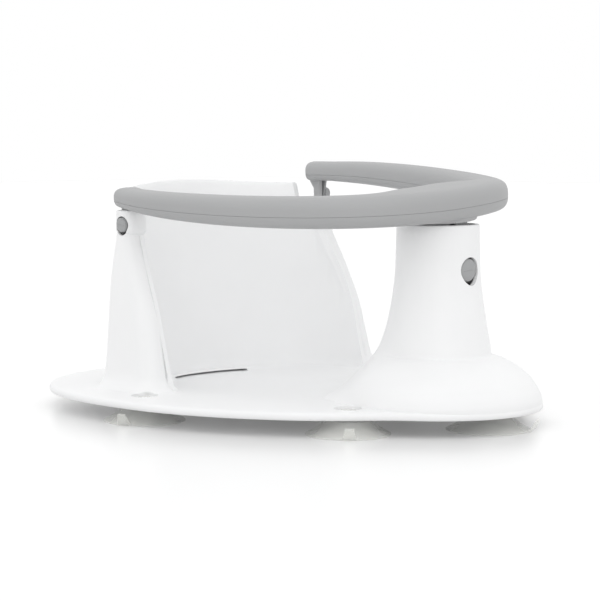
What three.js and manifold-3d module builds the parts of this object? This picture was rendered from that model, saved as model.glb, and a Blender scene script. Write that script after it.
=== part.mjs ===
// Baby bath seat with a lift-off safety ring, in millimetres, +Z up.
// The front column stands at -Y, the backrest at +Y. The origin lies under the middle of the base, on the
// floor that the suction cups stand on. The safety ring is shown as photographed: its left and front legs
// are home in their sockets and its right end still stands clear of its post.

import * as THREE from 'three';
import { mergeVertices } from 'three/addons/utils/BufferGeometryUtils.js';
import Module from 'manifold-3d';

const wasm = await Module();
wasm.setup();

// Driving dimensions

const FIT_GAP = 0.3;                 // play between pieces that touch on the real seat
const WALL = 3;                      // moulded wall of the seat
const RING_WALL = 2.4;               // moulded wall of the safety ring

// Base plate outline: a superellipse whose front and back halves differ, joined to a round nose
const BASE_CENTRE_Y = 28.4;
const BASE_HALF_WIDTH = 160;
const BASE_FRONT_REACH = 195.8;
const BASE_BACK_REACH = 165;
const BASE_FRONT_POWER = 1.9;
const BASE_BACK_POWER = 2.6;
const OUTLINE_CENTRE_Y = -20;        // point that every outline ray starts from
const NOSE_RADIUS = 73.5;
const OUTLINE_BLEND_POWER = 26;
const RIM_BOTTOM_Z = 11.4;
const PLATE_TOP_Z = 18;
const RIM_EDGE_ROUND = 2.2;
const PLATE_CROWN = 1;
const PLATE_CROWN_REACH = 42;

// Front column: one row per height, as shares of the way from the plate up to the column's top and of the
// way from the top's radius out to the nose's, towards the front and towards the seat
const COLUMN_Y = -120;
const COLUMN_TOP_Z = 139.3;
const COLUMN_TOP_RADIUS = 28.8;
const COLUMN_ROW_SHARES = [
  { height: -0.018, front: 0.996, rear: 1.2 },
  { height: 0.005, front: 0.989, rear: 1.08 },
  { height: 0.05, front: 0.949, rear: 0.89 },
  { height: 0.107, front: 0.85, rear: 0.709 },
  { height: 0.157, front: 0.72, rear: 0.575 },
  { height: 0.198, front: 0.568, rear: 0.47 },
  { height: 0.231, front: 0.374, rear: 0.394 },
  { height: 0.252, front: 0.215, rear: 0.345 },
  { height: 0.305, front: 0.183, rear: 0.255 },
  { height: 0.396, front: 0.139, rear: 0.17 },
  { height: 0.495, front: 0.097, rear: 0.106 },
  { height: 0.61, front: 0.05, rear: 0.052 },
  { height: 0.725, front: 0.021, rear: 0.021 },
  { height: 0.841, front: 0.008, rear: 0.008 },
  { height: 1, front: 0, rear: 0 },
];
const COLUMN_BLEND_START = 0.15;     // sine of the angle at which the front radius starts to give way
const COLUMN_BLEND_END = 0.75;       // and at which the rear radius has taken over

// Backrest: a wall round the back of the seat that opens out towards its top
const SHELL_CENTRE_Y = 19;
const SHELL_BOTTOM_Z = 15.8;
const SHELL_TOP_Z = 166.5;
const SHELL_SIDE_DROP = 3;
const SHELL_INNER_RADIUS = 103.5;
const SHELL_TOP_INNER_RADIUS = 116;
const SHELL_WALL = 3.4;
const SHELL_HALF_ANGLE = 80;         // degrees from straight back, before the front edge is cut
const SHELL_FOOT_FILLET = 9;
// Front edge of the backrest seen from the side. Below the ring's end it runs from the foot to the notch,
// as shares of the distance between the two and of the height of the posts.
const SHELL_EDGE_FOOT_Y = 38;
const SHELL_EDGE_NOTCH_Y = 93;
const SHELL_EDGE_SHARES = [
  { along: 0, height: 0.068 }, { along: 0.091, height: 0.191 }, { along: 0.182, height: 0.342 },
  { along: 0.291, height: 0.492 }, { along: 0.418, height: 0.615 }, { along: 0.564, height: 0.725 },
  { along: 0.745, height: 0.875 }, { along: 0.945, height: 0.984 }, { along: 1, height: 1 },
];
// Behind the ring's end it climbs from the notch to the crest, as shares of the way to the crest and of the
// height left above the posts
const SHELL_CREST_Y = 104;
const SHELL_CREST_SHARES = [
  { along: 0, height: 0.03 }, { along: 0.124, height: 0.34 }, { along: 0.434, height: 0.78 },
  { along: 1, height: 1.28 },
];
const SHELL_NOTCH_GAP = 1.5;         // between the ring's end and the backrest behind it

// Shallow pan inside the backrest: one row per depth, as shares of its depth and of its reaches
const PAN_CENTRE_Y = 40;
const PAN_DEPTH = 3.2;
const PAN_HALF_WIDTH = 88;
const PAN_BACK_REACH = 76;
const PAN_FRONT_REACH = 62;
const PAN_POWER = 2.2;
const PAN_ROW_SHARES = [
  { depth: 1, side: 0.75, back: 0.965, front: 0.2 },
  { depth: 0.75, side: 0.88, back: 0.975, front: 0.55 },
  { depth: 0.35, side: 0.96, back: 0.985, front: 0.82 },
  { depth: 0, side: 1, back: 1, front: 1 },
];

// Side posts: rounded boxes, one row per height, for the post on the +X side. Each row gives shares of the
// height of the pillar and of the way from its neck out to its foot.
const LEG_Y = 87;                    // middle of each post's head and of the ring's leg in it
const POST_OUTER = 109.7;
const POST_WIDTH = 19.4;
const POST_DEPTH = 19.6;
const POST_BOX_ROUND = 6.5;
const POST_BOX_BOTTOM_Z = 131;
const POST_NECK_INSET = 0.35;        // of the pillar's neck inside the outline of the head
const POST_NECK_FRONT_INSET = 2.4;
const POST_BOX = {
  inner: POST_OUTER - POST_WIDTH,
  outer: POST_OUTER,
  front: LEG_Y - POST_DEPTH / 2,
  back: LEG_Y + POST_DEPTH / 2,
  round: POST_BOX_ROUND,
  corner: POST_BOX_ROUND,
};
const POST_NECK = {
  inner: POST_BOX.inner + POST_NECK_INSET,
  outer: POST_BOX.outer - POST_NECK_INSET,
  front: POST_BOX.front + POST_NECK_FRONT_INSET,
  back: POST_BOX.back - POST_NECK_INSET,
  round: POST_BOX_ROUND,
  corner: POST_BOX_ROUND,
};
const POST_FOOT = { inner: 100, outer: 134, front: 31, back: 104, round: 12, corner: 20 };
const POST_ROW_SHARES = [
  { height: -0.02, inner: 1, outer: 1, front: 1, back: 1, round: 1, corner: 1 },
  { height: 0.004, inner: 1.11, outer: 0.82, front: 0.918, back: 0.6, round: 1, corner: 0.7 },
  { height: 0.035, inner: 1.22, outer: 0.634, front: 0.815, back: 0.19, round: 0.33, corner: 0.56 },
  { height: 0.088, inner: 1.27, outer: 0.537, front: 0.743, back: -0.08, round: 0, corner: 0.48 },
  { height: 0.239, inner: 1.22, outer: 0.451, front: 0.66, back: -0.15, round: -0.08, corner: 0.44 },
  { height: 0.46, inner: 1.05, outer: 0.35, front: 0.537, back: -0.08, round: -0.08, corner: 0.36 },
  { height: 0.726, inner: 0.625, outer: 0.211, front: 0.27, back: 0.05, round: 0, corner: 0.21 },
  { height: 0.938, inner: 0.12, outer: 0.033, front: 0.041, back: 0.03, round: 0, corner: 0.03 },
  { height: 1, inner: 0, outer: 0, front: 0, back: 0, round: 0, corner: 0 },
];
const POST_WALL = 2.3;
const SOCKET_BOTTOM_Z = 113;
const POST_CAVITY_TOP_Z = 106;

// Suction cups, their necks and the pockets that their heads sit in
const CUP_RADIUS = 29;
const CUP_BODY_TOP_Z = 10.8;
const CUP_SHOULDER_RADIUS = 16;
const CUP_NECK_RADIUS = 4.2;
const CUP_HEAD_RADIUS = 6.6;
const CUP_HEAD_HEIGHT = 3;
const CUP_HOLLOW_DEPTH = 5;
const CUP_LIP_THICKNESS = 1.2;
const POCKET_RADIUS = 9.5;
const POCKET_FLOOR_THICKNESS = 2.5;
const TAB_LENGTH = 9;
const TAB_WIDTH = 8.5;
const TAB_THICKNESS = 1.8;
const TAB_RISE = 8.5;
const REAR_CUP_INSET = 27.2;         // from the widest part of the base
const REAR_CUP_Y = 37;
const FRONT_CUP_X = 82.1;
const FRONT_CUP_SETBACK = 9.1;       // behind the column's axis
const NOSE_CUP_LEAD = 45.5;          // in front of the column's axis
const REAR_TAB_ANGLE = 200;          // degrees, on the -X side, from +X
const FRONT_TAB_ANGLE = 224;
const FRONT_RIGHT_TAB_ANGLE = 30;
const NOSE_TAB_ANGLE = -66;

// Drain slot at the foot of the backrest
const DRAIN_HALF_ANGLE = 23.5;
const DRAIN_HEIGHT = 1.6;
const DRAIN_DROP_WIDTH = 5;          // of the slot under the wall that lets the water fall

// Safety ring, described as it lies when all three legs are home
const RING_HALF_WIDTH = 113.8;
const RING_CENTRE_Y = 11.6;
const RING_FRONT_LEAD = 18.8;        // of the ring's centreline, in front of the column's axis
const RING_BACK_REACH = 147.7;
const RING_POWER = 2.1;
const RING_END_Y = 88;
const RING_MID_Z = 154.2;
const RING_FRONT_HEIGHT = 23;
const RING_END_HEIGHT = 14.8;
const RING_END_REACH = 8;            // of the ring past the middle of each leg
const RING_END_ROUND = 3.2;
const RING_POST_GAP = 0.5;           // between the ring's underside and the posts when it is home
const RING_FLAT_END = 11;            // length over each post that keeps the end height
const RING_HEIGHT_REACH = 100;       // distance past that over which the ring deepens
const RING_SECTION_HALF = 13.2;
const RING_END_HALF = 11;
const RING_HUB_EXTRA = 33.5;
const RING_HUB_REACH = 60;
const RING_HUB_POWER = 4;
const RING_ACROSS_POWER = 0.62;      // below one, the section's sides are fuller than an ellipse's
const RING_UP_POWER = 0.72;
const SEAM_Z = 152.2;
const BOSS_BOTTOM_Z = 141.7;
const BOSS_RADIUS = 27.6;
const BOSS_FLARE = 4;

// The tilt that the photograph shows, about the line through the left and the front latch
const RING_TILT = 5.6;               // degrees
const LATCH_Z = 135.6;
const COLUMN_LATCH_Z = 108.2;

// Legs under the ring's ends and their latches
const LEG_BOTTOM_Z = 118;
const LEG_CORE_THICKNESS = 3.4;
const LEG_WIDTH = 6.6;
const LATCH_PLATE = 1.8;
const LATCH_SOCKET_PLAY = 1.2;       // between a latch plate and the socket wall that it faces
const LATCH_STAND_OUT = 0.8;         // how far a released end button stands out of its hole
const LATCH_PRESS_CLEARANCE = 1.2;   // between a pressed button and the wall that it has to pass
const LATCH_BUTTON_RADIUS = 5.3;
const LATCH_BUTTON_CHAMFER = 1;
const LATCH_TAIL = 5.6;              // latch plate below the button's centre
const LATCH_ROOT_Z = 154.2;
const LATCH_ROOT_HEIGHT = 4;
const LATCH_ROOT_DEPTH = 3.4;
const LATCH_CORE_GAP = 1.6;          // left between a pressed latch plate and the leg
const HOLE_PLAY = 1.1;
const HOLE_DROP = 1.3;               // extra room under the button, which makes the hole egg-shaped

// Leg and latch inside the front column
const COLUMN_LEG_RADIUS = 20.8;
const COLUMN_LEG_WALL = 2.5;
const COLUMN_LEG_BOTTOM_Z = 93;
const COLUMN_LATCH_WIDTH = 12;
const COLUMN_LATCH_PLAY = 4.9;       // room in front of that latch plate, which the tilting ring takes up
const COLUMN_BUTTON_RADIUS = 8;
const COLUMN_BUTTON_RECESS = 1.7;    // of the released button below the column's skin
const COLUMN_ROOT_Z = 148;
const COLUMN_WINDOW_PLAY = 0.8;      // on each side of the button in the leg's window

// Screws that close the ring
const SCREW_SHARES = [0.13, 0.28, 0.4];
const SCREW_HEAD_RADIUS = 3.1;
const SCREW_HEAD_HEIGHT = 1.8;
const SCREW_SHANK_RADIUS = 1.3;
const SCREW_BOSS_RADIUS = 4.6;
const SCREW_TOP_CLEARANCE = 4.4;

// Facets
const OUTLINE_FACETS = 64;
const COLUMN_FACETS = 36;
const SHELL_FACETS = 30;
const RING_STATIONS = 34;
const RING_FACETS = 16;
const HOLLOW_STATIONS = 20;
const HOLLOW_FACETS = 10;
const STATION_POWER = 1.35;          // above one, sections crowd towards the hub
const END_ROUND_SHARES = [0, 0.1, 0.35, 1];
const ROUND_FACETS = 20;
const SMALL_FACETS = 12;
const CORNER_FACETS = 3;
const PAN_FACETS = 40;
const CUT_OVERRUN = 20;              // how far a cutting shape reaches past what it cuts
const MERGE_DISTANCE = 0.0001;
const HALVING_STEPS = 40;

// Materials

function material(color, roughness, extra = {}) {
  return new THREE.MeshStandardMaterial({ color, roughness, metalness: 0, ...extra });
}

const seatMaterial = () => material(0xf4f5f6, 0.38);
const ringMaterial = () => material(0xacadae, 0.5);
const latchMaterial = () => material(0xa3a4a6, 0.45);
const cupMaterial = () => material(0xd9dcd6, 0.25, { transparent: true, opacity: 0.6 });
const screwMaterial = () => material(0xb9bbbd, 0.35, { metalness: 0.9 });

// Solids and meshes

function toSolid(geometry) {
  const bare = geometry.clone();
  bare.deleteAttribute('normal');
  bare.deleteAttribute('uv');
  const merged = mergeVertices(bare, MERGE_DISTANCE);
  const index = merged.index.array;
  const triangles = [];
  for (let i = 0; i < index.length; i += 3) {
    const [a, b, c] = [index[i], index[i + 1], index[i + 2]];
    if (a !== b && b !== c && a !== c) triangles.push(a, b, c);
  }
  const surface = new wasm.Mesh({
    numProp: 3,
    vertProperties: new Float32Array(merged.attributes.position.array),
    triVerts: new Uint32Array(triangles),
  });
  return new wasm.Manifold(surface);
}

function toMesh(name, solid, surfaceMaterial) {
  const { vertProperties, triVerts } = solid.getMesh();
  const geometry = new THREE.BufferGeometry();
  geometry.setAttribute('position', new THREE.BufferAttribute(new Float32Array(vertProperties), 3));
  geometry.setIndex(new THREE.BufferAttribute(new Uint32Array(triVerts), 1));
  geometry.computeVertexNormals();
  const mesh = new THREE.Mesh(geometry, surfaceMaterial);
  mesh.name = name;
  return mesh;
}

function union(solids) {
  return solids.reduce((whole, piece) => whole.add(piece));
}

function subtractAll(solid, cutters) {
  return cutters.reduce((left, cutter) => left.subtract(cutter), solid);
}

// A closed solid through a stack of rings with the same number of points; each end is a fan
function loft(rings) {
  const count = rings[0].length;
  const centreOf = (ring) => ring.reduce((sum, p) => sum.add(p), new THREE.Vector3()).divideScalar(count);
  const points = rings.flat().concat([centreOf(rings[0]), centreOf(rings[rings.length - 1])]);
  const firstCentre = points.length - 2;
  const lastCentre = points.length - 1;
  const lastRow = (rings.length - 1) * count;
  const index = [];
  for (let i = 0; i < count; i += 1) {
    const j = (i + 1) % count;
    index.push(firstCentre, j, i, lastCentre, lastRow + i, lastRow + j);
    for (let row = 0; row < rings.length - 1; row += 1) {
      const a = row * count;
      const b = a + count;
      index.push(a + i, a + j, b + j, a + i, b + j, b + i);
    }
  }
  const geometry = new THREE.BufferGeometry().setFromPoints(points);
  geometry.setIndex(index);
  return toSolid(geometry);
}

function box(xMin, xMax, yMin, yMax, zMin, zMax) {
  const geometry = new THREE.BoxGeometry(xMax - xMin, yMax - yMin, zMax - zMin);
  geometry.translate((xMin + xMax) / 2, (yMin + yMax) / 2, (zMin + zMax) / 2);
  return toSolid(geometry);
}

function cylinder(x, y, bottom, top, radius, facets, topRadius = radius) {
  const geometry = new THREE.CylinderGeometry(topRadius, radius, top - bottom, facets);
  geometry.rotateX(Math.PI / 2);
  geometry.translate(x, y, (bottom + top) / 2);
  return toSolid(geometry);
}

// A round bar along +X from xMin to xMax
function barAlongX(xMin, xMax, y, z, radius, endRadius, facets) {
  const geometry = new THREE.CylinderGeometry(endRadius, radius, xMax - xMin, facets);
  geometry.rotateZ(-Math.PI / 2);
  geometry.translate((xMin + xMax) / 2, y, z);
  return toSolid(geometry);
}

function mirrorX(solid) {
  return solid.mirror([1, 0, 0]);
}

// Outlines

function superellipseLevel(x, y) {
  const back = y > BASE_CENTRE_Y;
  const reach = back ? BASE_BACK_REACH : BASE_FRONT_REACH;
  const power = back ? BASE_BACK_POWER : BASE_FRONT_POWER;
  return (Math.abs(x) / BASE_HALF_WIDTH) ** power + (Math.abs(y - BASE_CENTRE_Y) / reach) ** power - 1;
}

// Distance from the outline centre to where a level function turns positive along a ray
function rayLength(level, angle) {
  let low = 0;
  let high = 2 * BASE_FRONT_REACH;
  for (let step = 0; step < HALVING_STEPS; step += 1) {
    const middle = (low + high) / 2;
    const x = middle * Math.cos(angle);
    const y = OUTLINE_CENTRE_Y + middle * Math.sin(angle);
    if (level(x, y) > 0) high = middle;
    else low = middle;
  }
  return low;
}

function noseRay(angle) {
  const offset = COLUMN_Y - OUTLINE_CENTRE_Y;
  const along = offset * Math.sin(angle);
  const room = along * along - offset * offset + NOSE_RADIUS * NOSE_RADIUS;
  return room > 0 && along > 0 ? along + Math.sqrt(room) : 0;
}

function outlineRadius(angle) {
  const plate = rayLength(superellipseLevel, angle);
  const nose = noseRay(angle);
  return (plate ** OUTLINE_BLEND_POWER + nose ** OUTLINE_BLEND_POWER) ** (1 / OUTLINE_BLEND_POWER);
}

function outlineRing(inset, z) {
  const ring = [];
  for (let i = 0; i < OUTLINE_FACETS; i += 1) {
    const angle = (2 * Math.PI * i) / OUTLINE_FACETS;
    const radius = outlineRadius(angle) - inset;
    ring.push(new THREE.Vector3(radius * Math.cos(angle), OUTLINE_CENTRE_Y + radius * Math.sin(angle), z));
  }
  return ring;
}

function roundedBoxRing(row, inset, z) {
  const left = row.inner + inset;
  const right = row.outer - inset;
  const front = row.front + inset;
  const back = row.back - inset;
  const round = Math.max(row.round - inset, FIT_GAP);
  const corner = Math.max(row.corner - inset, FIT_GAP);
  const corners = [
    [right - round, back - round, round],
    [left + round, back - round, round],
    [left + round, front + round, round],
    [right - corner, front + corner, corner],
  ];
  const ring = [];
  corners.forEach(([x, y, radius], quarter) => {
    for (let i = 0; i <= CORNER_FACETS; i += 1) {
      const angle = (Math.PI / 2) * (quarter + i / CORNER_FACETS);
      ring.push(new THREE.Vector3(x + radius * Math.cos(angle), y + radius * Math.sin(angle), z));
    }
  });
  return ring;
}

// Rows of sizes between a near and a far one, from a table of shares
function rowsBetween(near, far, shares) {
  return shares.map((row) => {
    const sizes = {};
    for (const key of Object.keys(near)) sizes[key] = THREE.MathUtils.lerp(near[key], far[key], row[key]);
    return sizes;
  });
}

const postTop = RING_MID_Z - RING_END_HEIGHT / 2 - RING_POST_GAP;
const postRows = rowsBetween(POST_NECK, POST_FOOT, POST_ROW_SHARES).map((row, i) => ({
  ...row,
  z: THREE.MathUtils.lerp(PLATE_TOP_Z, POST_BOX_BOTTOM_Z, POST_ROW_SHARES[i].height),
}));
const columnTopRow = { z: COLUMN_TOP_Z, front: COLUMN_TOP_RADIUS, rear: COLUMN_TOP_RADIUS };
const columnFootRow = { z: PLATE_TOP_Z, front: NOSE_RADIUS, rear: NOSE_RADIUS };
const columnRows = rowsBetween(columnTopRow, columnFootRow, COLUMN_ROW_SHARES.map((row) => ({
  ...row,
  z: 1 - row.height,
})));

function columnRadiusAt(z) {
  const above = columnRows.findIndex((row) => row.z >= z);
  const [low, high] = [columnRows[above - 1], columnRows[above]];
  return THREE.MathUtils.mapLinear(z, low.z, high.z, low.front, high.front);
}

// Seat moulding

function baseSolid() {
  return loft([
    outlineRing(RIM_EDGE_ROUND / 2, RIM_BOTTOM_Z),
    outlineRing(0, RIM_BOTTOM_Z + RIM_EDGE_ROUND / 2),
    outlineRing(0, PLATE_TOP_Z - PLATE_CROWN - RIM_EDGE_ROUND),
    outlineRing(RIM_EDGE_ROUND / 3, PLATE_TOP_Z - PLATE_CROWN - RIM_EDGE_ROUND / 3),
    outlineRing(RIM_EDGE_ROUND, PLATE_TOP_Z - PLATE_CROWN),
    outlineRing(PLATE_CROWN_REACH, PLATE_TOP_Z),
  ]);
}

function baseCavity() {
  const ceiling = PLATE_TOP_Z - PLATE_CROWN - WALL;
  return loft([outlineRing(WALL, RIM_BOTTOM_Z - CUT_OVERRUN), outlineRing(WALL, ceiling)]);
}

function columnRing(row, inset, z) {
  const ring = [];
  for (let i = 0; i < COLUMN_FACETS; i += 1) {
    const angle = (2 * Math.PI * i) / COLUMN_FACETS;
    const rearShare = THREE.MathUtils.smoothstep(Math.sin(angle), COLUMN_BLEND_START, COLUMN_BLEND_END);
    const radius = THREE.MathUtils.lerp(row.front, row.rear, rearShare) - inset;
    ring.push(new THREE.Vector3(radius * Math.cos(angle), COLUMN_Y + radius * Math.sin(angle), z));
  }
  return ring;
}

function columnSolid() {
  return loft(columnRows.map((row) => columnRing(row, 0, row.z)));
}

function columnCavity() {
  const rows = columnRows.filter((row, i) => i % 2 === 0);
  const rings = rows.map((row) => columnRing(row, WALL, row.z - (row.z < COLUMN_TOP_Z ? WALL / 2 : 0)));
  rings[0].forEach((point) => { point.z -= WALL; });
  rings.push(columnRing(rows[rows.length - 1], WALL, COLUMN_TOP_Z + CUT_OVERRUN));
  return loft(rings);
}

function shellRadius(z) {
  const share = (z - PLATE_TOP_Z) / (SHELL_TOP_Z - PLATE_TOP_Z);
  return THREE.MathUtils.lerp(SHELL_INNER_RADIUS, SHELL_TOP_INNER_RADIUS, Math.max(share, 0));
}

function shellTop(angle) {
  const share = THREE.MathUtils.smoothstep(Math.abs(angle), 0, Math.PI / 4);
  return SHELL_TOP_Z - SHELL_SIDE_DROP * share;
}

// One upright section of the backrest wall, at an angle from straight back
function shellSection(angle) {
  const top = shellTop(angle);
  const half = SHELL_WALL / 2;
  const inner = [
    [shellRadius(SHELL_BOTTOM_Z) - SHELL_FOOT_FILLET / 3, SHELL_BOTTOM_Z],
    [shellRadius(PLATE_TOP_Z) - SHELL_FOOT_FILLET / 3, PLATE_TOP_Z + FIT_GAP],
    [shellRadius(PLATE_TOP_Z), PLATE_TOP_Z + SHELL_FOOT_FILLET / 2],
    [shellRadius(top - half), top - half],
    [shellRadius(top) + half / 2, top - half / 4],
  ];
  const outer = [
    [shellRadius(top) + SHELL_WALL - half / 2, top - half / 4],
    [shellRadius(top - half) + SHELL_WALL, top - half],
    [shellRadius(PLATE_TOP_Z) + SHELL_WALL, PLATE_TOP_Z + SHELL_FOOT_FILLET],
    [shellRadius(PLATE_TOP_Z) + SHELL_WALL + SHELL_FOOT_FILLET / 3, PLATE_TOP_Z + SHELL_FOOT_FILLET / 3],
    [shellRadius(PLATE_TOP_Z) + SHELL_WALL + SHELL_FOOT_FILLET, PLATE_TOP_Z - FIT_GAP],
    [shellRadius(SHELL_BOTTOM_Z) + SHELL_WALL + SHELL_FOOT_FILLET, SHELL_BOTTOM_Z],
  ];
  return inner.concat(outer).reverse().map(([radius, z]) => new THREE.Vector3(
    radius * Math.sin(angle),
    SHELL_CENTRE_Y + radius * Math.cos(angle),
    z,
  ));
}

function shellSolid() {
  const limit = THREE.MathUtils.degToRad(SHELL_HALF_ANGLE);
  const sections = [];
  for (let i = 0; i <= SHELL_FACETS; i += 1) {
    sections.push(shellSection(THREE.MathUtils.lerp(-limit, limit, i / SHELL_FACETS)));
  }
  const reach = 2 * BASE_FRONT_REACH;
  const notchBack = RING_END_Y + RING_END_REACH + SHELL_NOTCH_GAP;
  const lower = SHELL_EDGE_SHARES.map(({ along, height }) => new THREE.Vector2(
    THREE.MathUtils.lerp(SHELL_EDGE_FOOT_Y, SHELL_EDGE_NOTCH_Y, along),
    postTop * height,
  ));
  const upper = SHELL_CREST_SHARES.map(({ along, height }) => new THREE.Vector2(
    THREE.MathUtils.lerp(notchBack, SHELL_CREST_Y, along),
    THREE.MathUtils.lerp(postTop, SHELL_TOP_Z, height),
  ));
  const outline = lower.concat(upper);
  outline.push(new THREE.Vector2(-reach, upper[upper.length - 1].y), new THREE.Vector2(-reach, lower[0].y));
  const cutter = new THREE.ExtrudeGeometry(new THREE.Shape(outline), { depth: reach, bevelEnabled: false });
  cutter.translate(0, 0, -reach / 2);
  cutter.rotateX(Math.PI / 2);
  cutter.rotateZ(Math.PI / 2);
  return loft(sections).subtract(toSolid(cutter));
}

function postSolid() {
  const pillar = loft(postRows.map((row) => roundedBoxRing(row, 0, row.z)));
  const head = loft([
    roundedBoxRing(POST_BOX, POST_WALL, POST_BOX_BOTTOM_Z - POST_WALL),
    roundedBoxRing(POST_BOX, 0, POST_BOX_BOTTOM_Z),
    roundedBoxRing(POST_BOX, 0, postTop - RIM_EDGE_ROUND / 4),
    roundedBoxRing(POST_BOX, RIM_EDGE_ROUND / 4, postTop),
  ]);
  return pillar.add(head);
}

function postCavities() {
  const rows = postRows.filter((row) => row.z < POST_CAVITY_TOP_Z);
  const rings = rows.map((row) => roundedBoxRing(row, WALL, row.z));
  rings[0].forEach((point) => { point.z = RIM_BOTTOM_Z; });
  rings.push(roundedBoxRing(rows[rows.length - 1], 2 * WALL, POST_CAVITY_TOP_Z));
  const socket = loft([
    roundedBoxRing(POST_BOX, POST_WALL, SOCKET_BOTTOM_Z),
    roundedBoxRing(POST_BOX, POST_WALL, postTop + CUT_OVERRUN),
  ]);
  return [loft(rings), socket];
}

// Egg-shaped outline of a latch hole, wider room below than above; x runs across, y runs up
function eggShape(radius) {
  const points = [];
  for (let i = 0; i < SMALL_FACETS; i += 1) {
    const angle = (2 * Math.PI * i) / SMALL_FACETS;
    const drop = Math.sin(angle) < 0 ? 1 + HOLE_DROP / radius : 1;
    points.push(new THREE.Vector2(radius * Math.cos(angle), radius * drop * Math.sin(angle)));
  }
  return new THREE.Shape(points);
}

function postHole() {
  const middle = (POST_BOX.inner + POST_BOX.outer) / 2;
  const geometry = new THREE.ExtrudeGeometry(eggShape(LATCH_BUTTON_RADIUS + HOLE_PLAY), {
    depth: POST_BOX.outer - middle + CUT_OVERRUN,
    bevelEnabled: false,
  });
  geometry.rotateX(Math.PI / 2);
  geometry.rotateZ(Math.PI / 2);
  geometry.translate(middle, LEG_Y, LATCH_Z);
  return toSolid(geometry);
}

function columnHole() {
  const geometry = new THREE.ExtrudeGeometry(eggShape(COLUMN_BUTTON_RADIUS + HOLE_PLAY), {
    depth: NOSE_RADIUS,
    bevelEnabled: false,
  });
  geometry.rotateX(Math.PI / 2);
  geometry.translate(0, COLUMN_Y, COLUMN_LATCH_Z);
  return toSolid(geometry);
}

// A block that follows the foot of the backrest, between two radii and two heights
function footBlock(inner, outer, bottom, top) {
  const limit = THREE.MathUtils.degToRad(DRAIN_HALF_ANGLE);
  const sections = [];
  for (let i = 0; i <= SMALL_FACETS; i += 1) {
    const angle = THREE.MathUtils.lerp(-limit, limit, i / SMALL_FACETS);
    const corners = [[inner, bottom], [outer, bottom], [outer, top], [inner, top]];
    sections.push(corners.map(([radius, z]) => new THREE.Vector3(
      radius * Math.sin(angle),
      SHELL_CENTRE_Y + radius * Math.cos(angle),
      z,
    )));
  }
  return loft(sections);
}

// The slot runs under the wall at the level of the pan and then falls through the plate
function drainSlot() {
  const wallFoot = shellRadius(PLATE_TOP_Z);
  const bottom = PLATE_TOP_Z - PAN_DEPTH + FIT_GAP / 2;
  const top = bottom + DRAIN_HEIGHT;
  const under = footBlock(wallFoot - 1.2 * SHELL_FOOT_FILLET, wallFoot + DRAIN_DROP_WIDTH, bottom, top);
  return under.add(footBlock(wallFoot, wallFoot + DRAIN_DROP_WIDTH, RIM_BOTTOM_Z - CUT_OVERRUN, top));
}

function panRing(row, outset, z) {
  const ring = [];
  for (let i = 0; i < PAN_FACETS; i += 1) {
    const angle = (2 * Math.PI * i) / PAN_FACETS;
    const cos = Math.cos(angle);
    const sin = Math.sin(angle);
    const reach = sin > 0 ? PAN_BACK_REACH * row.back : PAN_FRONT_REACH * row.front;
    ring.push(new THREE.Vector3(
      (PAN_HALF_WIDTH * row.side + outset) * Math.sign(cos) * Math.abs(cos) ** (2 / PAN_POWER),
      PAN_CENTRE_Y + (reach + outset) * Math.sign(sin) * Math.abs(sin) ** (2 / PAN_POWER),
      z,
    ));
  }
  return ring;
}

// The pan's hollow, or with a wall's outset and drop the body under it
function panSolid(outset, drop) {
  const top = PLATE_TOP_Z - drop;
  const rings = PAN_ROW_SHARES.map((row) => panRing(row, outset, top - PAN_DEPTH * row.depth));
  const lastRow = PAN_ROW_SHARES[PAN_ROW_SHARES.length - 1];
  if (drop === 0) rings.push(panRing(lastRow, FIT_GAP, top + FIT_GAP));
  return loft(rings);
}

const pocketFloorBottom = CUP_BODY_TOP_Z + FIT_GAP;
const pocketFloorTop = pocketFloorBottom + POCKET_FLOOR_THICKNESS;

function cupPlaces() {
  const rearX = BASE_HALF_WIDTH - REAR_CUP_INSET;
  const frontY = COLUMN_Y + FRONT_CUP_SETBACK;
  return [
    { name: 'suction_cup_rear_left', x: -rearX, y: REAR_CUP_Y, tab: REAR_TAB_ANGLE },
    { name: 'suction_cup_rear_right', x: rearX, y: REAR_CUP_Y, tab: 180 - REAR_TAB_ANGLE },
    { name: 'suction_cup_front_left', x: -FRONT_CUP_X, y: frontY, tab: FRONT_TAB_ANGLE },
    { name: 'suction_cup_front_right', x: FRONT_CUP_X, y: frontY, tab: FRONT_RIGHT_TAB_ANGLE },
    { name: 'suction_cup_nose', x: 0, y: COLUMN_Y - NOSE_CUP_LEAD, tab: NOSE_TAB_ANGLE },
  ];
}

// Boss that holds one suction cup; the nose cup's boss hangs from the inside of the dome
function cupBoss(column, { x, y }) {
  const bossRadius = POCKET_RADIUS + WALL;
  const boss = cylinder(x, y, pocketFloorBottom, PLATE_TOP_Z - PLATE_CROWN, bossRadius, ROUND_FACETS);
  if (x !== 0) return boss;
  return boss.add(cylinder(x, y, pocketFloorTop, COLUMN_TOP_Z, bossRadius, ROUND_FACETS).intersect(column));
}

function cupPocket(cavity, { x, y }) {
  const top = x === 0 ? COLUMN_TOP_Z : PLATE_TOP_Z + CUT_OVERRUN;
  const pocket = cylinder(x, y, pocketFloorTop, top, POCKET_RADIUS, ROUND_FACETS);
  const neck = cylinder(x, y, 0, pocketFloorTop + CUP_HEAD_HEIGHT, CUP_NECK_RADIUS + FIT_GAP, SMALL_FACETS);
  return (x === 0 ? pocket.intersect(cavity) : pocket).add(neck);
}

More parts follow.
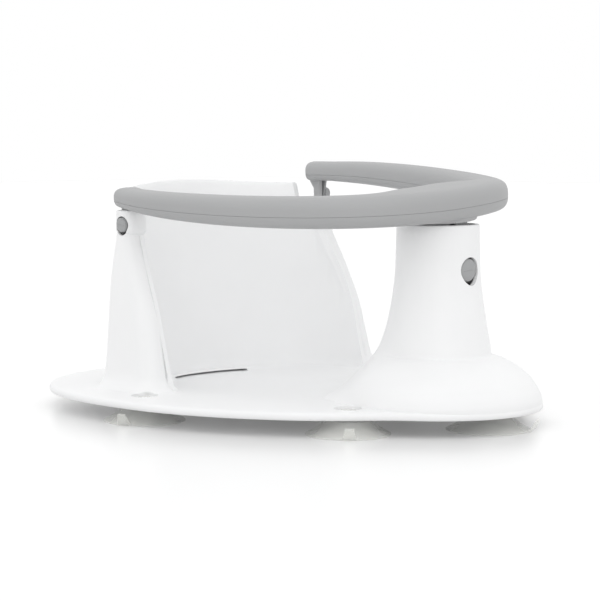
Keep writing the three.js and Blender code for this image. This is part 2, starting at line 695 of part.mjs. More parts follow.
function seatMoulding() {
  const post = postSolid();
  const column = columnSolid();
  let seat = union([baseSolid(), column, shellSolid(), post, mirrorX(post)]);
  const cavities = postCavities();
  const columnRoom = columnCavity();
  seat = subtractAll(seat, [baseCavity(), columnRoom, ...cavities, ...cavities.map(mirrorX)]);
  seat = union([seat, panSolid(WALL, WALL).subtract(columnRoom)]).subtract(panSolid(0, 0));
  seat = union([seat, ...cupPlaces().map((place) => cupBoss(column, place))]);
  seat = subtractAll(seat, cupPlaces().map((place) => cupPocket(columnRoom, place)));
  const hole = postHole();
  return subtractAll(seat, [hole, mirrorX(hole), columnHole(), drainSlot()]);
}

// Suction cups

function cupProfile() {
  const headBottom = pocketFloorTop + FIT_GAP;
  return [
    [0, CUP_HOLLOW_DEPTH],
    [CUP_SHOULDER_RADIUS / 2, CUP_HOLLOW_DEPTH],
    [CUP_RADIUS - CUP_LIP_THICKNESS, 0],
    [CUP_RADIUS, 0],
    [CUP_RADIUS, CUP_LIP_THICKNESS],
    [CUP_SHOULDER_RADIUS + 2 * CUP_LIP_THICKNESS, CUP_BODY_TOP_Z - 3 * CUP_LIP_THICKNESS],
    [CUP_SHOULDER_RADIUS, CUP_BODY_TOP_Z],
    [CUP_NECK_RADIUS, CUP_BODY_TOP_Z],
    [CUP_NECK_RADIUS, headBottom],
    [CUP_HEAD_RADIUS, headBottom],
    [CUP_HEAD_RADIUS, headBottom + CUP_HEAD_HEIGHT / 2],
    [CUP_NECK_RADIUS, headBottom + CUP_HEAD_HEIGHT],
    [0, headBottom + CUP_HEAD_HEIGHT],
  ].map(([radius, z]) => new THREE.Vector2(radius, z));
}

function pullTab(angle) {
  const start = CUP_RADIUS - 2 * CUP_LIP_THICKNESS;
  const outline = new THREE.Shape([
    new THREE.Vector2(start, FIT_GAP),
    new THREE.Vector2(CUP_RADIUS + CUP_LIP_THICKNESS, FIT_GAP),
    new THREE.Vector2(start + TAB_LENGTH, TAB_RISE),
    new THREE.Vector2(start + TAB_LENGTH - TAB_THICKNESS, TAB_RISE + TAB_THICKNESS / 3),
    new THREE.Vector2(CUP_RADIUS, CUP_LIP_THICKNESS + FIT_GAP),
    new THREE.Vector2(start, CUP_LIP_THICKNESS + FIT_GAP),
  ]);
  const geometry = new THREE.ExtrudeGeometry(outline, { depth: TAB_WIDTH, bevelEnabled: false });
  geometry.translate(0, 0, -TAB_WIDTH / 2);
  geometry.rotateX(Math.PI / 2);
  geometry.rotateZ(THREE.MathUtils.degToRad(angle));
  return toSolid(geometry);
}

function suctionCup({ name, x, y, tab }) {
  const geometry = new THREE.LatheGeometry(cupProfile(), ROUND_FACETS);
  geometry.rotateX(Math.PI / 2);
  const mesh = toMesh(name, toSolid(geometry).add(pullTab(tab)), cupMaterial());
  mesh.position.set(x, y, 0);
  return mesh;
}

// Safety ring path: a flattened C seen from above, open towards the back

function ringCurve() {
  const endShare = ((RING_END_Y - RING_CENTRE_Y) / RING_BACK_REACH) ** (RING_POWER / 2);
  const endAngle = Math.asin(endShare);
  const frontReach = RING_CENTRE_Y - COLUMN_Y + RING_FRONT_LEAD;
  const points = [];
  for (let i = 0; i <= 4 * RING_STATIONS; i += 1) {
    const angle = THREE.MathUtils.lerp(Math.PI - endAngle, 2 * Math.PI + endAngle, i / (4 * RING_STATIONS));
    const cos = Math.cos(angle);
    const sin = Math.sin(angle);
    const reach = sin > 0 ? RING_BACK_REACH : frontReach;
    points.push(new THREE.Vector3(
      RING_HALF_WIDTH * Math.sign(cos) * Math.abs(cos) ** (2 / RING_POWER),
      RING_CENTRE_Y + reach * Math.sign(sin) * Math.abs(sin) ** (2 / RING_POWER),
      0,
    ));
  }
  return new THREE.CatmullRomCurve3(points);
}

const ringPath = ringCurve();
const ringLength = ringPath.getLength();

// Half widths and heights of the ring at a share of its length; the front carries a hub over the column
function ringStation(share) {
  const fromEnd = Math.min(share, 1 - share) * ringLength;
  const fromFront = Math.abs(share - 0.5) * ringLength;
  const grow = 1 - Math.exp(-Math.max(fromEnd - RING_FLAT_END, 0) / RING_HEIGHT_REACH);
  const half = THREE.MathUtils.lerp(RING_END_HALF, RING_SECTION_HALF, grow);
  const height = THREE.MathUtils.lerp(RING_END_HEIGHT, RING_FRONT_HEIGHT, grow);
  const hub = RING_HUB_EXTRA * Math.exp(-((fromFront / RING_HUB_REACH) ** RING_HUB_POWER));
  return { half, hub, height };
}

// One section of the ring: a rounded outline that leans on the path's outward side
function ringSection(share, overrun, inset, points) {
  const { half, hub, height } = ringStation(share);
  const tangent = ringPath.getTangentAt(share);
  const centre = ringPath.getPointAt(share).addScaledVector(tangent, overrun);
  const outward = new THREE.Vector3(tangent.y, -tangent.x, 0);
  const outer = half - inset;
  const inner = half + hub - inset;
  const tall = height / 2 - inset;
  const section = [];
  for (let i = 0; i < points; i += 1) {
    const angle = (-2 * Math.PI * i) / points;
    const across = Math.sign(Math.cos(angle)) * Math.abs(Math.cos(angle)) ** RING_ACROSS_POWER;
    const up = Math.sign(Math.sin(angle)) * Math.abs(Math.sin(angle)) ** RING_UP_POWER;
    const point = centre.clone().addScaledVector(outward, across * (across > 0 ? outer : inner));
    point.z = RING_MID_Z + up * tall;
    section.push(point);
  }
  return section;
}

// Sections past one end of the path, from the flat end face inwards, with the face's edge rounded off
function endSections(share, direction, inset, points) {
  const round = Math.max(RING_END_ROUND - inset, FIT_GAP);
  return END_ROUND_SHARES.map((part) => {
    const overrun = RING_END_REACH - inset - round * part;
    const shrink = round * (1 - Math.sqrt(1 - (1 - part) ** 2));
    return ringSection(share, direction * overrun, inset + shrink, points);
  });
}

function ringBody(inset, stations, points) {
  const sections = endSections(0, -1, inset, points);
  for (let i = 0; i <= stations; i += 1) {
    const side = (2 * i) / stations - 1;
    const share = (1 + Math.sign(side) * Math.abs(side) ** STATION_POWER) / 2;
    sections.push(ringSection(share, 0, inset, points));
  }
  sections.push(...endSections(1, 1, inset, points).reverse());
  return loft(sections);
}

function slab(bottom, top) {
  const reach = BASE_FRONT_REACH;
  return box(-reach, reach, -reach, reach, bottom, top);
}

function screwPlaces() {
  const places = [];
  SCREW_SHARES.forEach((share, row) => {
    for (const side of [-1, 1]) {
      const along = side < 0 ? share : 1 - share;
      const point = ringPath.getPointAt(along);
      const height = ringStation(along).height;
      places.push({
        name: `ring_screw_${side < 0 ? 'left' : 'right'}_${row + 1}`,
        x: point.x,
        y: point.y,
        bottom: RING_MID_Z - height / 2,
        top: RING_MID_Z + height / 2,
      });
    }
  });
  return places;
}

const ringOuter = ringBody(0, RING_STATIONS, RING_FACETS);
const ringHollow = ringBody(RING_WALL, HOLLOW_STATIONS, HOLLOW_FACETS);

const latchFace = POST_BOX.outer - POST_WALL - LATCH_SOCKET_PLAY;
const latchTravel = LATCH_STAND_OUT + POST_WALL + LATCH_PRESS_CLEARANCE;
const latchBack = latchFace - LATCH_PLATE;
const coreFace = latchBack - latchTravel - LATCH_CORE_GAP;
const columnButtonSkin = columnRadiusAt(COLUMN_LATCH_Z);
const columnLatchFace = columnButtonSkin - WALL - COLUMN_LATCH_PLAY;

function ringUpper() {
  const seam = SEAM_Z + FIT_GAP / 2;
  const pilotRadius = SCREW_SHANK_RADIUS + FIT_GAP;
  let shell = ringOuter.subtract(ringHollow).intersect(slab(seam, RING_MID_Z + RING_FRONT_HEIGHT));
  for (const { x, y, top } of screwPlaces()) {
    const boss = cylinder(x, y, seam, top - RING_WALL / 2, SCREW_BOSS_RADIUS, SMALL_FACETS);
    const pilot = cylinder(x, y, SEAM_Z - RING_WALL, top - RING_WALL, pilotRadius, SMALL_FACETS);
    shell = shell.add(boss.intersect(ringOuter)).subtract(pilot);
  }
  return shell;
}

// Socket leg under one end of the ring, on the +X side
function endLeg() {
  const coreBack = coreFace - LEG_CORE_THICKNESS;
  const foot = RING_MID_Z - RING_END_HEIGHT / 2;
  const half = LEG_WIDTH / 2;
  const core = box(coreBack, coreFace, LEG_Y - half, LEG_Y + half, LEG_BOTTOM_Z, foot + RING_WALL);
  const root = new THREE.Shape([
    new THREE.Vector2(half - FIT_GAP, foot - RING_WALL - LATCH_PLATE),
    new THREE.Vector2(RING_END_REACH - RING_END_ROUND / 2, foot + FIT_GAP),
    new THREE.Vector2(half - FIT_GAP, foot + FIT_GAP),
  ]);
  const gusset = new THREE.ExtrudeGeometry(root, { depth: LEG_CORE_THICKNESS, bevelEnabled: false });
  gusset.rotateX(Math.PI / 2);
  gusset.rotateZ(Math.PI / 2);
  gusset.translate(coreBack, LEG_Y, 0);
  return core.add(toSolid(gusset));
}

// Slot in the ring's floor that one end latch hangs through
function endLatchSlot() {
  return box(coreFace, latchFace + LATCH_PLATE / 2, LEG_Y - LEG_WIDTH / 2 - FIT_GAP,
    LEG_Y + LEG_WIDTH / 2 + FIT_GAP, LEG_BOTTOM_Z, SEAM_Z + RING_WALL);
}

function columnLeg() {
  const bossTop = RING_MID_Z - RING_FRONT_HEIGHT / 2 + RING_WALL;
  const flareTop = BOSS_RADIUS + BOSS_FLARE;
  const tubeTop = BOSS_BOTTOM_Z + RING_WALL;
  const flare = cylinder(0, COLUMN_Y, BOSS_BOTTOM_Z, bossTop, BOSS_RADIUS, COLUMN_FACETS, flareTop);
  const tube = cylinder(0, COLUMN_Y, COLUMN_LEG_BOTTOM_Z, tubeTop, COLUMN_LEG_RADIUS, COLUMN_FACETS);
  return flare.intersect(slab(BOSS_BOTTOM_Z, SEAM_Z - FIT_GAP / 2)).add(tube);
}

function columnLegCuts() {
  const boreRadius = COLUMN_LEG_RADIUS - COLUMN_LEG_WALL;
  const bottom = COLUMN_LEG_BOTTOM_Z - CUT_OVERRUN;
  const top = SEAM_Z + RING_WALL;
  const bore = cylinder(0, COLUMN_Y, bottom, top, boreRadius, COLUMN_FACETS);
  const halfWidth = COLUMN_BUTTON_RADIUS + COLUMN_WINDOW_PLAY;
  const front = COLUMN_Y - BOSS_RADIUS + LATCH_PLATE;
  const window = box(-halfWidth, halfWidth, front, COLUMN_Y, bottom, top);
  return [bore, window];
}

function ringLower() {
  let shell = ringOuter.subtract(ringHollow).intersect(slab(0, SEAM_Z - FIT_GAP / 2));
  const leg = endLeg();
  shell = union([shell, columnLeg(), leg, mirrorX(leg)]);
  for (const { x, y, bottom } of screwPlaces()) {
    const boss = cylinder(x, y, bottom, SEAM_Z - FIT_GAP / 2, SCREW_BOSS_RADIUS, SMALL_FACETS);
    const seat = cylinder(x, y, bottom - CUT_OVERRUN, bottom + SCREW_HEAD_HEIGHT + FIT_GAP,
      SCREW_HEAD_RADIUS + FIT_GAP, SMALL_FACETS);
    const bore = cylinder(x, y, bottom, SEAM_Z + RING_WALL, SCREW_SHANK_RADIUS + FIT_GAP, SMALL_FACETS);
    shell = shell.add(boss.intersect(ringOuter)).subtract(seat).subtract(bore);
  }
  const slot = endLatchSlot();
  return subtractAll(shell, [...columnLegCuts(), slot, mirrorX(slot)]);
}

function ringScrew({ name, x, y, bottom, top }) {
  const headTop = bottom + SCREW_HEAD_HEIGHT;
  const head = cylinder(x, y, bottom + FIT_GAP / 2, headTop, SCREW_HEAD_RADIUS, SMALL_FACETS);
  const end = top - SCREW_TOP_CLEARANCE;
  const shank = cylinder(x, y, headTop - FIT_GAP, end, SCREW_SHANK_RADIUS, SMALL_FACETS);
  return toMesh(name, head.add(shank), screwMaterial());
}

// A latch: a springy plate hung inside the ring, with a button near its lower end. It is drawn with its
// root at the origin, its plate hanging down -Z and its button pointing along +X.
function latchSolid({ face, buttonDrop, radius, width, reach }) {
  const half = width / 2;
  const shoulder = reach - LATCH_BUTTON_CHAMFER;
  const tipRadius = radius - LATCH_BUTTON_CHAMFER;
  const plate = box(-LATCH_PLATE, 0, -half, half, -buttonDrop - LATCH_TAIL, LATCH_ROOT_HEIGHT / 2);
  const root = box(-LATCH_ROOT_DEPTH, 0, -half, half, -LATCH_ROOT_HEIGHT / 4, LATCH_ROOT_HEIGHT / 2);
  const shaft = barAlongX(-LATCH_PLATE / 2, shoulder, 0, -buttonDrop, radius, radius, ROUND_FACETS);
  const tip = barAlongX(shoulder, reach, 0, -buttonDrop, radius, tipRadius, ROUND_FACETS);
  return union([plate, root, shaft, tip]);
}

function placeLatch(name, solid, x, y, z, facing, pressed) {
  const mesh = toMesh(name, solid, latchMaterial());
  const hinge = new THREE.Group();
  mesh.rotation.y = pressed;
  hinge.add(mesh);
  hinge.rotation.z = facing;
  hinge.position.set(x, y, z);
  return hinge;
}

const endButtonDrop = LATCH_ROOT_Z - LATCH_Z;
const pressedAngle = Math.asin(latchTravel / endButtonDrop);

function latches() {
  const reach = LATCH_SOCKET_PLAY + POST_WALL + LATCH_STAND_OUT;
  const end = { buttonDrop: endButtonDrop, radius: LATCH_BUTTON_RADIUS, width: LEG_WIDTH, reach };
  const front = {
    buttonDrop: COLUMN_ROOT_Z - COLUMN_LATCH_Z,
    radius: COLUMN_BUTTON_RADIUS,
    width: COLUMN_LATCH_WIDTH,
    reach: COLUMN_LATCH_PLAY + WALL - COLUMN_BUTTON_RECESS,
  };
  const frontY = COLUMN_Y - columnLatchFace;
  return [
    placeLatch('latch_left', latchSolid(end), -latchFace, LEG_Y, LATCH_ROOT_Z, Math.PI, 0),
    placeLatch('latch_right', latchSolid(end), latchFace, LEG_Y, LATCH_ROOT_Z, 0, pressedAngle),
    placeLatch('latch_front', latchSolid(front), 0, frontY, COLUMN_ROOT_Z, -Math.PI / 2, 0),
  ];
}

// The ring as photographed, turned about the line through the left and the front button

const tiltPivot = new THREE.Vector3(-POST_BOX.outer, LEG_Y, LATCH_Z);
const columnButton = new THREE.Vector3(0, COLUMN_Y - columnButtonSkin, COLUMN_LATCH_Z);
const tiltAxis = columnButton.sub(tiltPivot).normalize();

function safetyRing() {
  const pieces = new THREE.Group();
  pieces.add(toMesh('ring_upper_shell', ringUpper(), ringMaterial()));
  pieces.add(toMesh('ring_lower_shell', ringLower(), ringMaterial()));
  screwPlaces().forEach((place) => pieces.add(ringScrew(place)));
  latches().forEach((latch) => pieces.add(latch));
  pieces.position.copy(tiltPivot).negate();
  const tilted = new THREE.Group();
  tilted.add(pieces);
  tilted.position.copy(tiltPivot);
  tilted.quaternion.setFromAxisAngle(tiltAxis, THREE.MathUtils.degToRad(RING_TILT));
  return tilted;
}

const pieces = new THREE.Group();
pieces.add(toMesh('seat_moulding', seatMoulding(), seatMaterial()));
cupPlaces().forEach((place) => pieces.add(suctionCup(place)));
pieces.add(safetyRing());

// The origin goes to the middle of the whole seat's footprint
const middle = new THREE.Box3().setFromObject(pieces, true).getCenter(new THREE.Vector3());
pieces.position.set(-middle.x, -middle.y, 0);

const bathSeat = new THREE.Group();
bathSeat.add(pieces);

export default bathSeat;
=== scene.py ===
"""Looks of the baby bath seat: white moulded seat, grey safety ring, clear suction cups."""
import math

import bmesh
import bpy
from mathutils import Matrix, Vector


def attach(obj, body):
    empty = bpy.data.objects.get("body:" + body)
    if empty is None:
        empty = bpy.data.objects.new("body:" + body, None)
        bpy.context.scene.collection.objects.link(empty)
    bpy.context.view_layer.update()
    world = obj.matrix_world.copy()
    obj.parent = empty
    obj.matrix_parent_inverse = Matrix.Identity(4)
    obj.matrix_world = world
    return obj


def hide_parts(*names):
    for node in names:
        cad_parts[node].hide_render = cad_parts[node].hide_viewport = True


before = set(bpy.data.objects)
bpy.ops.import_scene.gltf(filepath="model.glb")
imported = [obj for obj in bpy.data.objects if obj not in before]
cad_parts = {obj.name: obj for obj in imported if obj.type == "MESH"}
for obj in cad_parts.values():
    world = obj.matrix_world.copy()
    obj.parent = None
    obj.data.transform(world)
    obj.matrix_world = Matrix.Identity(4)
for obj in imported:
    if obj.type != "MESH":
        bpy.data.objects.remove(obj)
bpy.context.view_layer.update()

# Seat moulding: base plate, round nose, column, backrest and posts.
# Injection-moulded white plastic, satin on the show side, one piece with no seams.
# Lengths below are in millimetres from the middle of the footprint; meshes are scaled to metres.
MM = 0.001
OUTLINE_Y = -16.8                    # the base's edge is measured from here
BASE_Y = 31.6
BASE_HALF_WIDTH = 160.0
BASE_BACK_REACH, BASE_BACK_POWER = 165.0, 2.6
BASE_FRONT_REACH, BASE_FRONT_POWER = 195.8, 1.9
NOSE_RADIUS = 73.5
NOSE_BLEND_POWER = 26
PLATE_Z = 18.0
COLUMN_Y = -116.8
COLUMN_TOP_RADIUS = 28.8
SHELL_Y = 22.2
SHELL_INNER_RADIUS, SHELL_TOP_INNER_RADIUS = 103.5, 116.0
SHELL_TOP_Z = 166.5
SHELL_WALL = 3.4
SHELL_HALF_ANGLE = 80                # degrees from straight back
SHELL_SIDE_DROP = 3.0
WALL = 3.0
NOSE_CUP_Y = -162.3
REAR_CUP_X, REAR_CUP_Y = 132.8, 40.2
FRONT_CUP_X, FRONT_CUP_Y = 82.1, -107.7
POCKET_RADIUS, POCKET_FLOOR_Z, NECK_HOLE_RADIUS = 9.5, 13.6, 4.6
POST_WALL = 2.3
LEG_X, LEG_Y = 100.0, 90.175
LATCH_Z = 135.6
COLUMN_LATCH_Z = 108.2
HOLE_RADIUS, COLUMN_HOLE_RADIUS, HOLE_DROP = 6.4, 9.1, 1.3
DRAIN_HALF_ANGLE = 23.5              # degrees from straight back
DRAIN_BOTTOM_Z, DRAIN_TOP_Z = 14.95, 16.55
DRAIN_INNER_RADIUS, DRAIN_OUTER_RADIUS = 92.0, 108.5
FAR = 200.0                          # beyond every edge of the seat


def circle_points(count):
    return [2 * math.pi * i / count for i in range(count)]


def signed_power(value, power):
    return math.copysign(abs(value) ** power, value)


def smoothstep(value, low, high):
    share = min(max((value - low) / (high - low), 0.0), 1.0)
    return share * share * (3 - 2 * share)


def through(rows, steps):
    """Rows of numbers in between the given rows, on a smooth curve through all of them."""
    out = []
    for i in range(len(rows) - 1):
        a, b, c, d = rows[max(i - 1, 0)], rows[i], rows[i + 1], rows[min(i + 2, len(rows) - 1)]
        for k in range(steps):
            t = k / steps
            out.append([
                q + 0.5 * t * (r - p + t * (2 * p - 5 * q + 4 * r - s + t * (3 * q - p - 3 * r + s)))
                for p, q, r, s in zip(a, b, c, d)])
    out.append(list(rows[-1]))
    return out


def loft(rings):
    """A closed skin drawn through rings of points: a circle is extruded from each ring to the next."""
    bm = bmesh.new()
    order = bm.verts.layers.int.new("order")
    start = bmesh.ops.create_circle(bm, segments=len(rings[0]), radius=1.0)["verts"]
    for i, vert in enumerate(start):
        vert[order] = i
        vert.co = rings[0][i]
    edges = list(bm.edges)
    bottom = list(edges)
    for ring in rings[1:]:
        grown = bmesh.ops.extrude_edge_only(bm, edges=edges)["geom"]
        verts = {item for item in grown if isinstance(item, bmesh.types.BMVert)}
        for vert in verts:
            vert.co = ring[vert[order]]
        edges = [e for e in grown if isinstance(e, bmesh.types.BMEdge) and set(e.verts) <= verts]
    bmesh.ops.contextual_create(bm, geom=bottom)
    bmesh.ops.contextual_create(bm, geom=edges)
    bmesh.ops.recalc_face_normals(bm, faces=bm.faces)
    return bm


def turn(bm, degrees, axis):
    bmesh.ops.rotate(bm, verts=bm.verts, cent=(0, 0, 0),
                     matrix=Matrix.Rotation(math.radians(degrees), 3, axis))


def move(bm, x, y, z):
    bmesh.ops.translate(bm, verts=bm.verts, vec=(x, y, z))


def pushed(corners, way):
    """A flat outline pushed along way into a closed body."""
    bm = bmesh.new()
    face = bm.faces.new([bm.verts.new(corner) for corner in corners])
    grown = bmesh.ops.extrude_face_region(bm, geom=[face])["geom"]
    bmesh.ops.translate(bm, verts=[v for v in grown if isinstance(v, bmesh.types.BMVert)], vec=way)
    bmesh.ops.recalc_face_normals(bm, faces=bm.faces)
    return bm


def swept(section, half_angle, steps):
    """A section of (radius, z) swept round the upright axis, as far to either side of +Y."""
    bm = bmesh.new()
    face = bm.faces.new([bm.verts.new((0.0, radius, z)) for radius, z in section])
    turn(bm, half_angle, "Z")
    bmesh.ops.spin(bm, geom=[face, *face.edges, *face.verts], cent=(0, 0, 0), axis=(0, 0, -1),
                   dvec=(0, 0, 0), angle=math.radians(2 * half_angle), steps=steps, use_merge=False,
                   use_duplicate=False)
    return bm


def as_object(name, bm):
    mesh = bpy.data.meshes.new(name)
    bm.to_mesh(mesh)
    bm.free()
    obj = bpy.data.objects.new(name, mesh)
    bpy.context.scene.collection.objects.link(obj)
    return obj


def combine(target, others, operation):
    """Joins the other objects to the target, or cuts them out of it, and removes them."""
    for other in others:
        tool = target.modifiers.new("tool", "BOOLEAN")
        tool.operation = operation
        tool.solver = "EXACT"
        tool.object = other
        made = bpy.data.meshes.new_from_object(target.evaluated_get(bpy.context.evaluated_depsgraph_get()))
        target.modifiers.clear()
        spent = target.data
        target.data = made
        bpy.data.meshes.remove(spent)
        bpy.data.objects.remove(other)
    return target


def round_tool(name, x, y, bottom, top, radius, segments=48):
    bm = bmesh.new()
    bmesh.ops.create_cone(bm, cap_ends=True, segments=segments, radius1=radius, radius2=radius,
                          depth=top - bottom)
    move(bm, x, y, (bottom + top) / 2)
    return as_object(name, bm)


def plate_reach(angle):
    """Reach of the base's edge from its middle: a superellipse blended with the round nose."""
    low, high = 0.0, 2 * FAR
    for _ in range(40):
        middle = (low + high) / 2
        x = middle * math.cos(angle)
        y = OUTLINE_Y + middle * math.sin(angle) - BASE_Y
        reach, power = (BASE_BACK_REACH, BASE_BACK_POWER) if y > 0 else (BASE_FRONT_REACH, BASE_FRONT_POWER)
        inside = (abs(x) / BASE_HALF_WIDTH) ** power + (abs(y) / reach) ** power < 1
        low, high = (middle, high) if inside else (low, middle)
    offset = COLUMN_Y - OUTLINE_Y
    along = offset * math.sin(angle)
    room = along * along - offset * offset + NOSE_RADIUS ** 2
    nose = along + math.sqrt(room) if room > 0 and along > 0 else 0.0
    return (low ** NOSE_BLEND_POWER + nose ** NOSE_BLEND_POWER) ** (1 / NOSE_BLEND_POWER)


plate_angles = circle_points(240)
plate_reaches = [plate_reach(angle) for angle in plate_angles]


def plate_ring(inset, z):
    return [Vector(((reach - inset) * math.cos(angle), OUTLINE_Y + (reach - inset) * math.sin(angle), z))
            for angle, reach in zip(plate_angles, plate_reaches)]


# insets and heights up the plate's rolled edge
PLATE_ROWS = [
    (1.6, 11.5), (0.6, 11.8), (0.1, 12.5), (0.0, 13.4), (0.0, 14.2), (0.15, 15.0), (0.5, 15.8), (1.1, 16.4),
    (2.0, 16.85), (3.2, 17.05), (6.0, 17.25), (12.0, 17.5), (20.0, 17.75), (30.0, 17.9), (42.0, PLATE_Z)]
seat = as_object("seat_shell", loft([plate_ring(*row) for row in PLATE_ROWS]))

# height, radius to the front and radius to the rear
COLUMN_ROWS = [
    (15.0, 73.2, 85.0), (17.6, 73.1, 79.4), (20.0, 72.7, 74.6), (24.0, 71.2, 68.7), (28.0, 68.9, 63.8),
    (32.0, 66.1, 59.6), (37.0, 61.0, 54.6), (41.0, 55.6, 50.6), (44.5, 49.4, 47.6), (46.8, 44.0, 45.8),
    (47.8, 40.6, 44.9), (48.6, 38.6, 44.2), (50.0, 37.8, 43.2), (55.0, 37.0, 40.2), (66.0, 35.0, 36.4),
    (78.0, 33.1, 33.5), (92.0, 31.0, 31.1), (106.0, 29.7, 29.7), (120.0, 29.2, 29.2),
    (138.1, COLUMN_TOP_RADIUS, COLUMN_TOP_RADIUS)]


def column_ring(z, front, rear, inset=0.0, facets=120):
    ring = []
    for angle in circle_points(facets):
        share = smoothstep(math.sin(angle), 0.15, 0.75)
        radius = front + (rear - front) * share - inset
        ring.append(Vector((radius * math.cos(angle), COLUMN_Y + radius * math.sin(angle), z)))
    return ring


column = as_object("column", loft(
    [column_ring(*row) for row in through(COLUMN_ROWS, 3)]
    + [column_ring(z, COLUMN_TOP_RADIUS, COLUMN_TOP_RADIUS, inset)
       for z, inset in [(138.8, 0.2), (139.2, 0.6), (139.3, 1.1)]]))


def shell_inner(z):
    share = max(z - PLATE_Z, 0.0) / (SHELL_TOP_Z - PLATE_Z)
    return SHELL_INNER_RADIUS + (SHELL_TOP_INNER_RADIUS - SHELL_INNER_RADIUS) * share


def shell_skin():
    """The backrest wall: its section is swept round the seat, then its top is let down at the sides."""
    heights = [40, 60, 80, 100, 120, 140, 155, 163]
    inner_foot = [(15.8, 4.5), (18.0, 4.5), (18.6, 2.6), (19.8, 1.2), (22.0, 0.3), (26.0, 0.0)]
    outer_foot = [(28.0, 0.2), (24.0, 1.2), (21.0, 3.2), (19.2, 6.0), (18.2, 9.5), (15.8, 9.5)]
    crown = [(0.05, 1.4), (0.55, 0.35), (SHELL_WALL / 2, 0.0), (2.85, 0.35), (3.35, 1.4)]
    section = [(shell_inner(z) - foot, z) for z, foot in inner_foot]
    section += [(shell_inner(z), z) for z in heights]
    section += [(shell_inner(SHELL_TOP_Z) + across, SHELL_TOP_Z - below) for across, below in crown]
    section += [(shell_inner(z) + SHELL_WALL, z) for z in reversed(heights)]
    section += [(shell_inner(z) + SHELL_WALL + foot, z) for z, foot in outer_foot]
    bm = swept(section, SHELL_HALF_ANGLE, 120)
    for vert in bm.verts:
        away = abs(math.atan2(vert.co.x, vert.co.y))
        share = smoothstep(away, 0.0, math.pi / 4) * smoothstep(vert.co.z, 120, SHELL_TOP_Z)
        vert.co.z -= SHELL_SIDE_DROP * share
    move(bm, 0, SHELL_Y, 0)
    bmesh.ops.recalc_face_normals(bm, faces=bm.faces)
    return bm


shell = as_object("shell", shell_skin())
# front edge of the backrest from the side, in two curves that meet at the notch for the ring's ends
shell_edge = through([
    (41, 10), (44, 22), (47, 32), (52, 52), (57.5, 73), (64.5, 91), (72, 106), (81.5, 127), (92, 142),
    (96, 146)], 4)
shell_edge += through([(100.7, 147.2), (101.5, 154), (103.5, 163), (107.2, 172)], 4)
corners = [(-FAR, y, z) for y, z in shell_edge + [(-1.5 * FAR, 172), (-1.5 * FAR, 10)]]
combine(shell, [as_object("edge_cut", pushed(corners, (2 * FAR, 0, 0)))], "DIFFERENCE")

# height, inner and outer side, front and back, rounding of the corners and of the front outer corner
POST_ROWS = [
    (15.0, 99.0, 135.5, 32.5, 108.5, 13.0, 21.0), (17.2, 100.2, 131.8, 36.0, 105.8, 12.5, 18.0),
    (19.0, 101.2, 128.6, 39.2, 103.2, 11.0, 15.5), (22.0, 102.0, 125.2, 43.0, 101.1, 8.5, 14.0),
    (28.0, 102.5, 122.6, 46.7, 99.0, 6.5, 13.0), (45.0, 102.0, 120.5, 50.7, 98.5, 6.0, 12.4),
    (70.0, 100.5, 118.0, 56.7, 99.0, 6.0, 11.4), (100.0, 96.5, 114.6, 69.7, 100.0, 6.5, 9.3),
    (124.0, 91.9, 110.2, 80.8, 99.9, 6.5, 6.9), (131.5, 90.7, 109.4, 82.8, 99.6, 6.5, 6.5)]
POST_BOX = (90.3, 109.7, 80.4, 100.0, 6.5, 6.5)


def box_ring(z, inner, outer, front, back, corner, show_corner, inset=0.0, steps=8):
    """Outline of a post; show_corner is the rounding of its front outer corner."""
    ring = []
    for x, y, corner_round, quarter in [(outer, back, corner, 0), (inner, back, corner, 1),
                                        (inner, front, corner, 2), (outer, front, show_corner, 3)]:
        radius = max(corner_round - inset, 0.2)
        x += (-inset - radius) if x == outer else (inset + radius)
        y += (-inset - radius) if y == back else (inset + radius)
        for i in range(steps + 1):
            angle = math.pi / 2 * (quarter + i / steps)
            ring.append(Vector((x + radius * math.cos(angle), y + radius * math.sin(angle), z)))
    return ring


def mirrored(rings):
    return [[Vector((-p.x, p.y, p.z)) for p in reversed(ring)] for ring in rings]


pillar = [box_ring(*row) for row in through(POST_ROWS, 4)]
head = [box_ring(z, *POST_BOX, inset=inset) for z, inset in [
    (128.0, 2.4), (129.6, 0.9), (130.6, 0.2), (131.6, 0.0), (140.0, 0.0), (145.4, 0.0), (146.0, 0.2),
    (146.3, 0.7)]]
posts = [as_object("post", loft(rings)) for rings in (pillar, mirrored(pillar), head, mirrored(head))]
combine(seat, [column, shell, *posts], "UNION")

# hollows of the moulding: under the plate, up the column, in the posts, and the pockets of the cups
under = as_object("under", loft([plate_ring(WALL, z) for z in (4.0, 14.0)]))
bore_rows = [(z - WALL / 2, front, rear) for z, front, rear in COLUMN_ROWS]
bore = as_object("bore", loft(
    [column_ring(6.0, 73.0, 84.0, WALL)] + [column_ring(*row, inset=WALL) for row in bore_rows]
    + [column_ring(150.0, COLUMN_TOP_RADIUS, COLUMN_TOP_RADIUS, WALL)]))
socket = [box_ring(z, *POST_BOX, inset=POST_WALL) for z in (113.0, 160.0)]
well = [box_ring(8.0, *POST_ROWS[0][1:], inset=WALL)]
well += [box_ring(*row, inset=WALL) for row in POST_ROWS[:7]]
well += [box_ring(106.0, *POST_ROWS[7][1:], inset=5.5)]
hollows = [as_object("hollow", loft(rings)) for rings in (socket, mirrored(socket), well, mirrored(well))]
combine(seat, [under, bore, *hollows], "DIFFERENCE")

# shallow pan inside the backrest: depth, then the reaches to the sides, the back and the front
PAN_Y = 43.2
PAN_POWER = 2.2
PAN_ROWS = through([
    (3.2, 66.0, 73.4, 12.4), (2.5, 77.4, 74.1, 34.1), (1.2, 84.5, 74.9, 51.0), (0.3, 87.2, 75.6, 59.5),
    (0.0, 88.6, 76.4, 63.0)], 4)


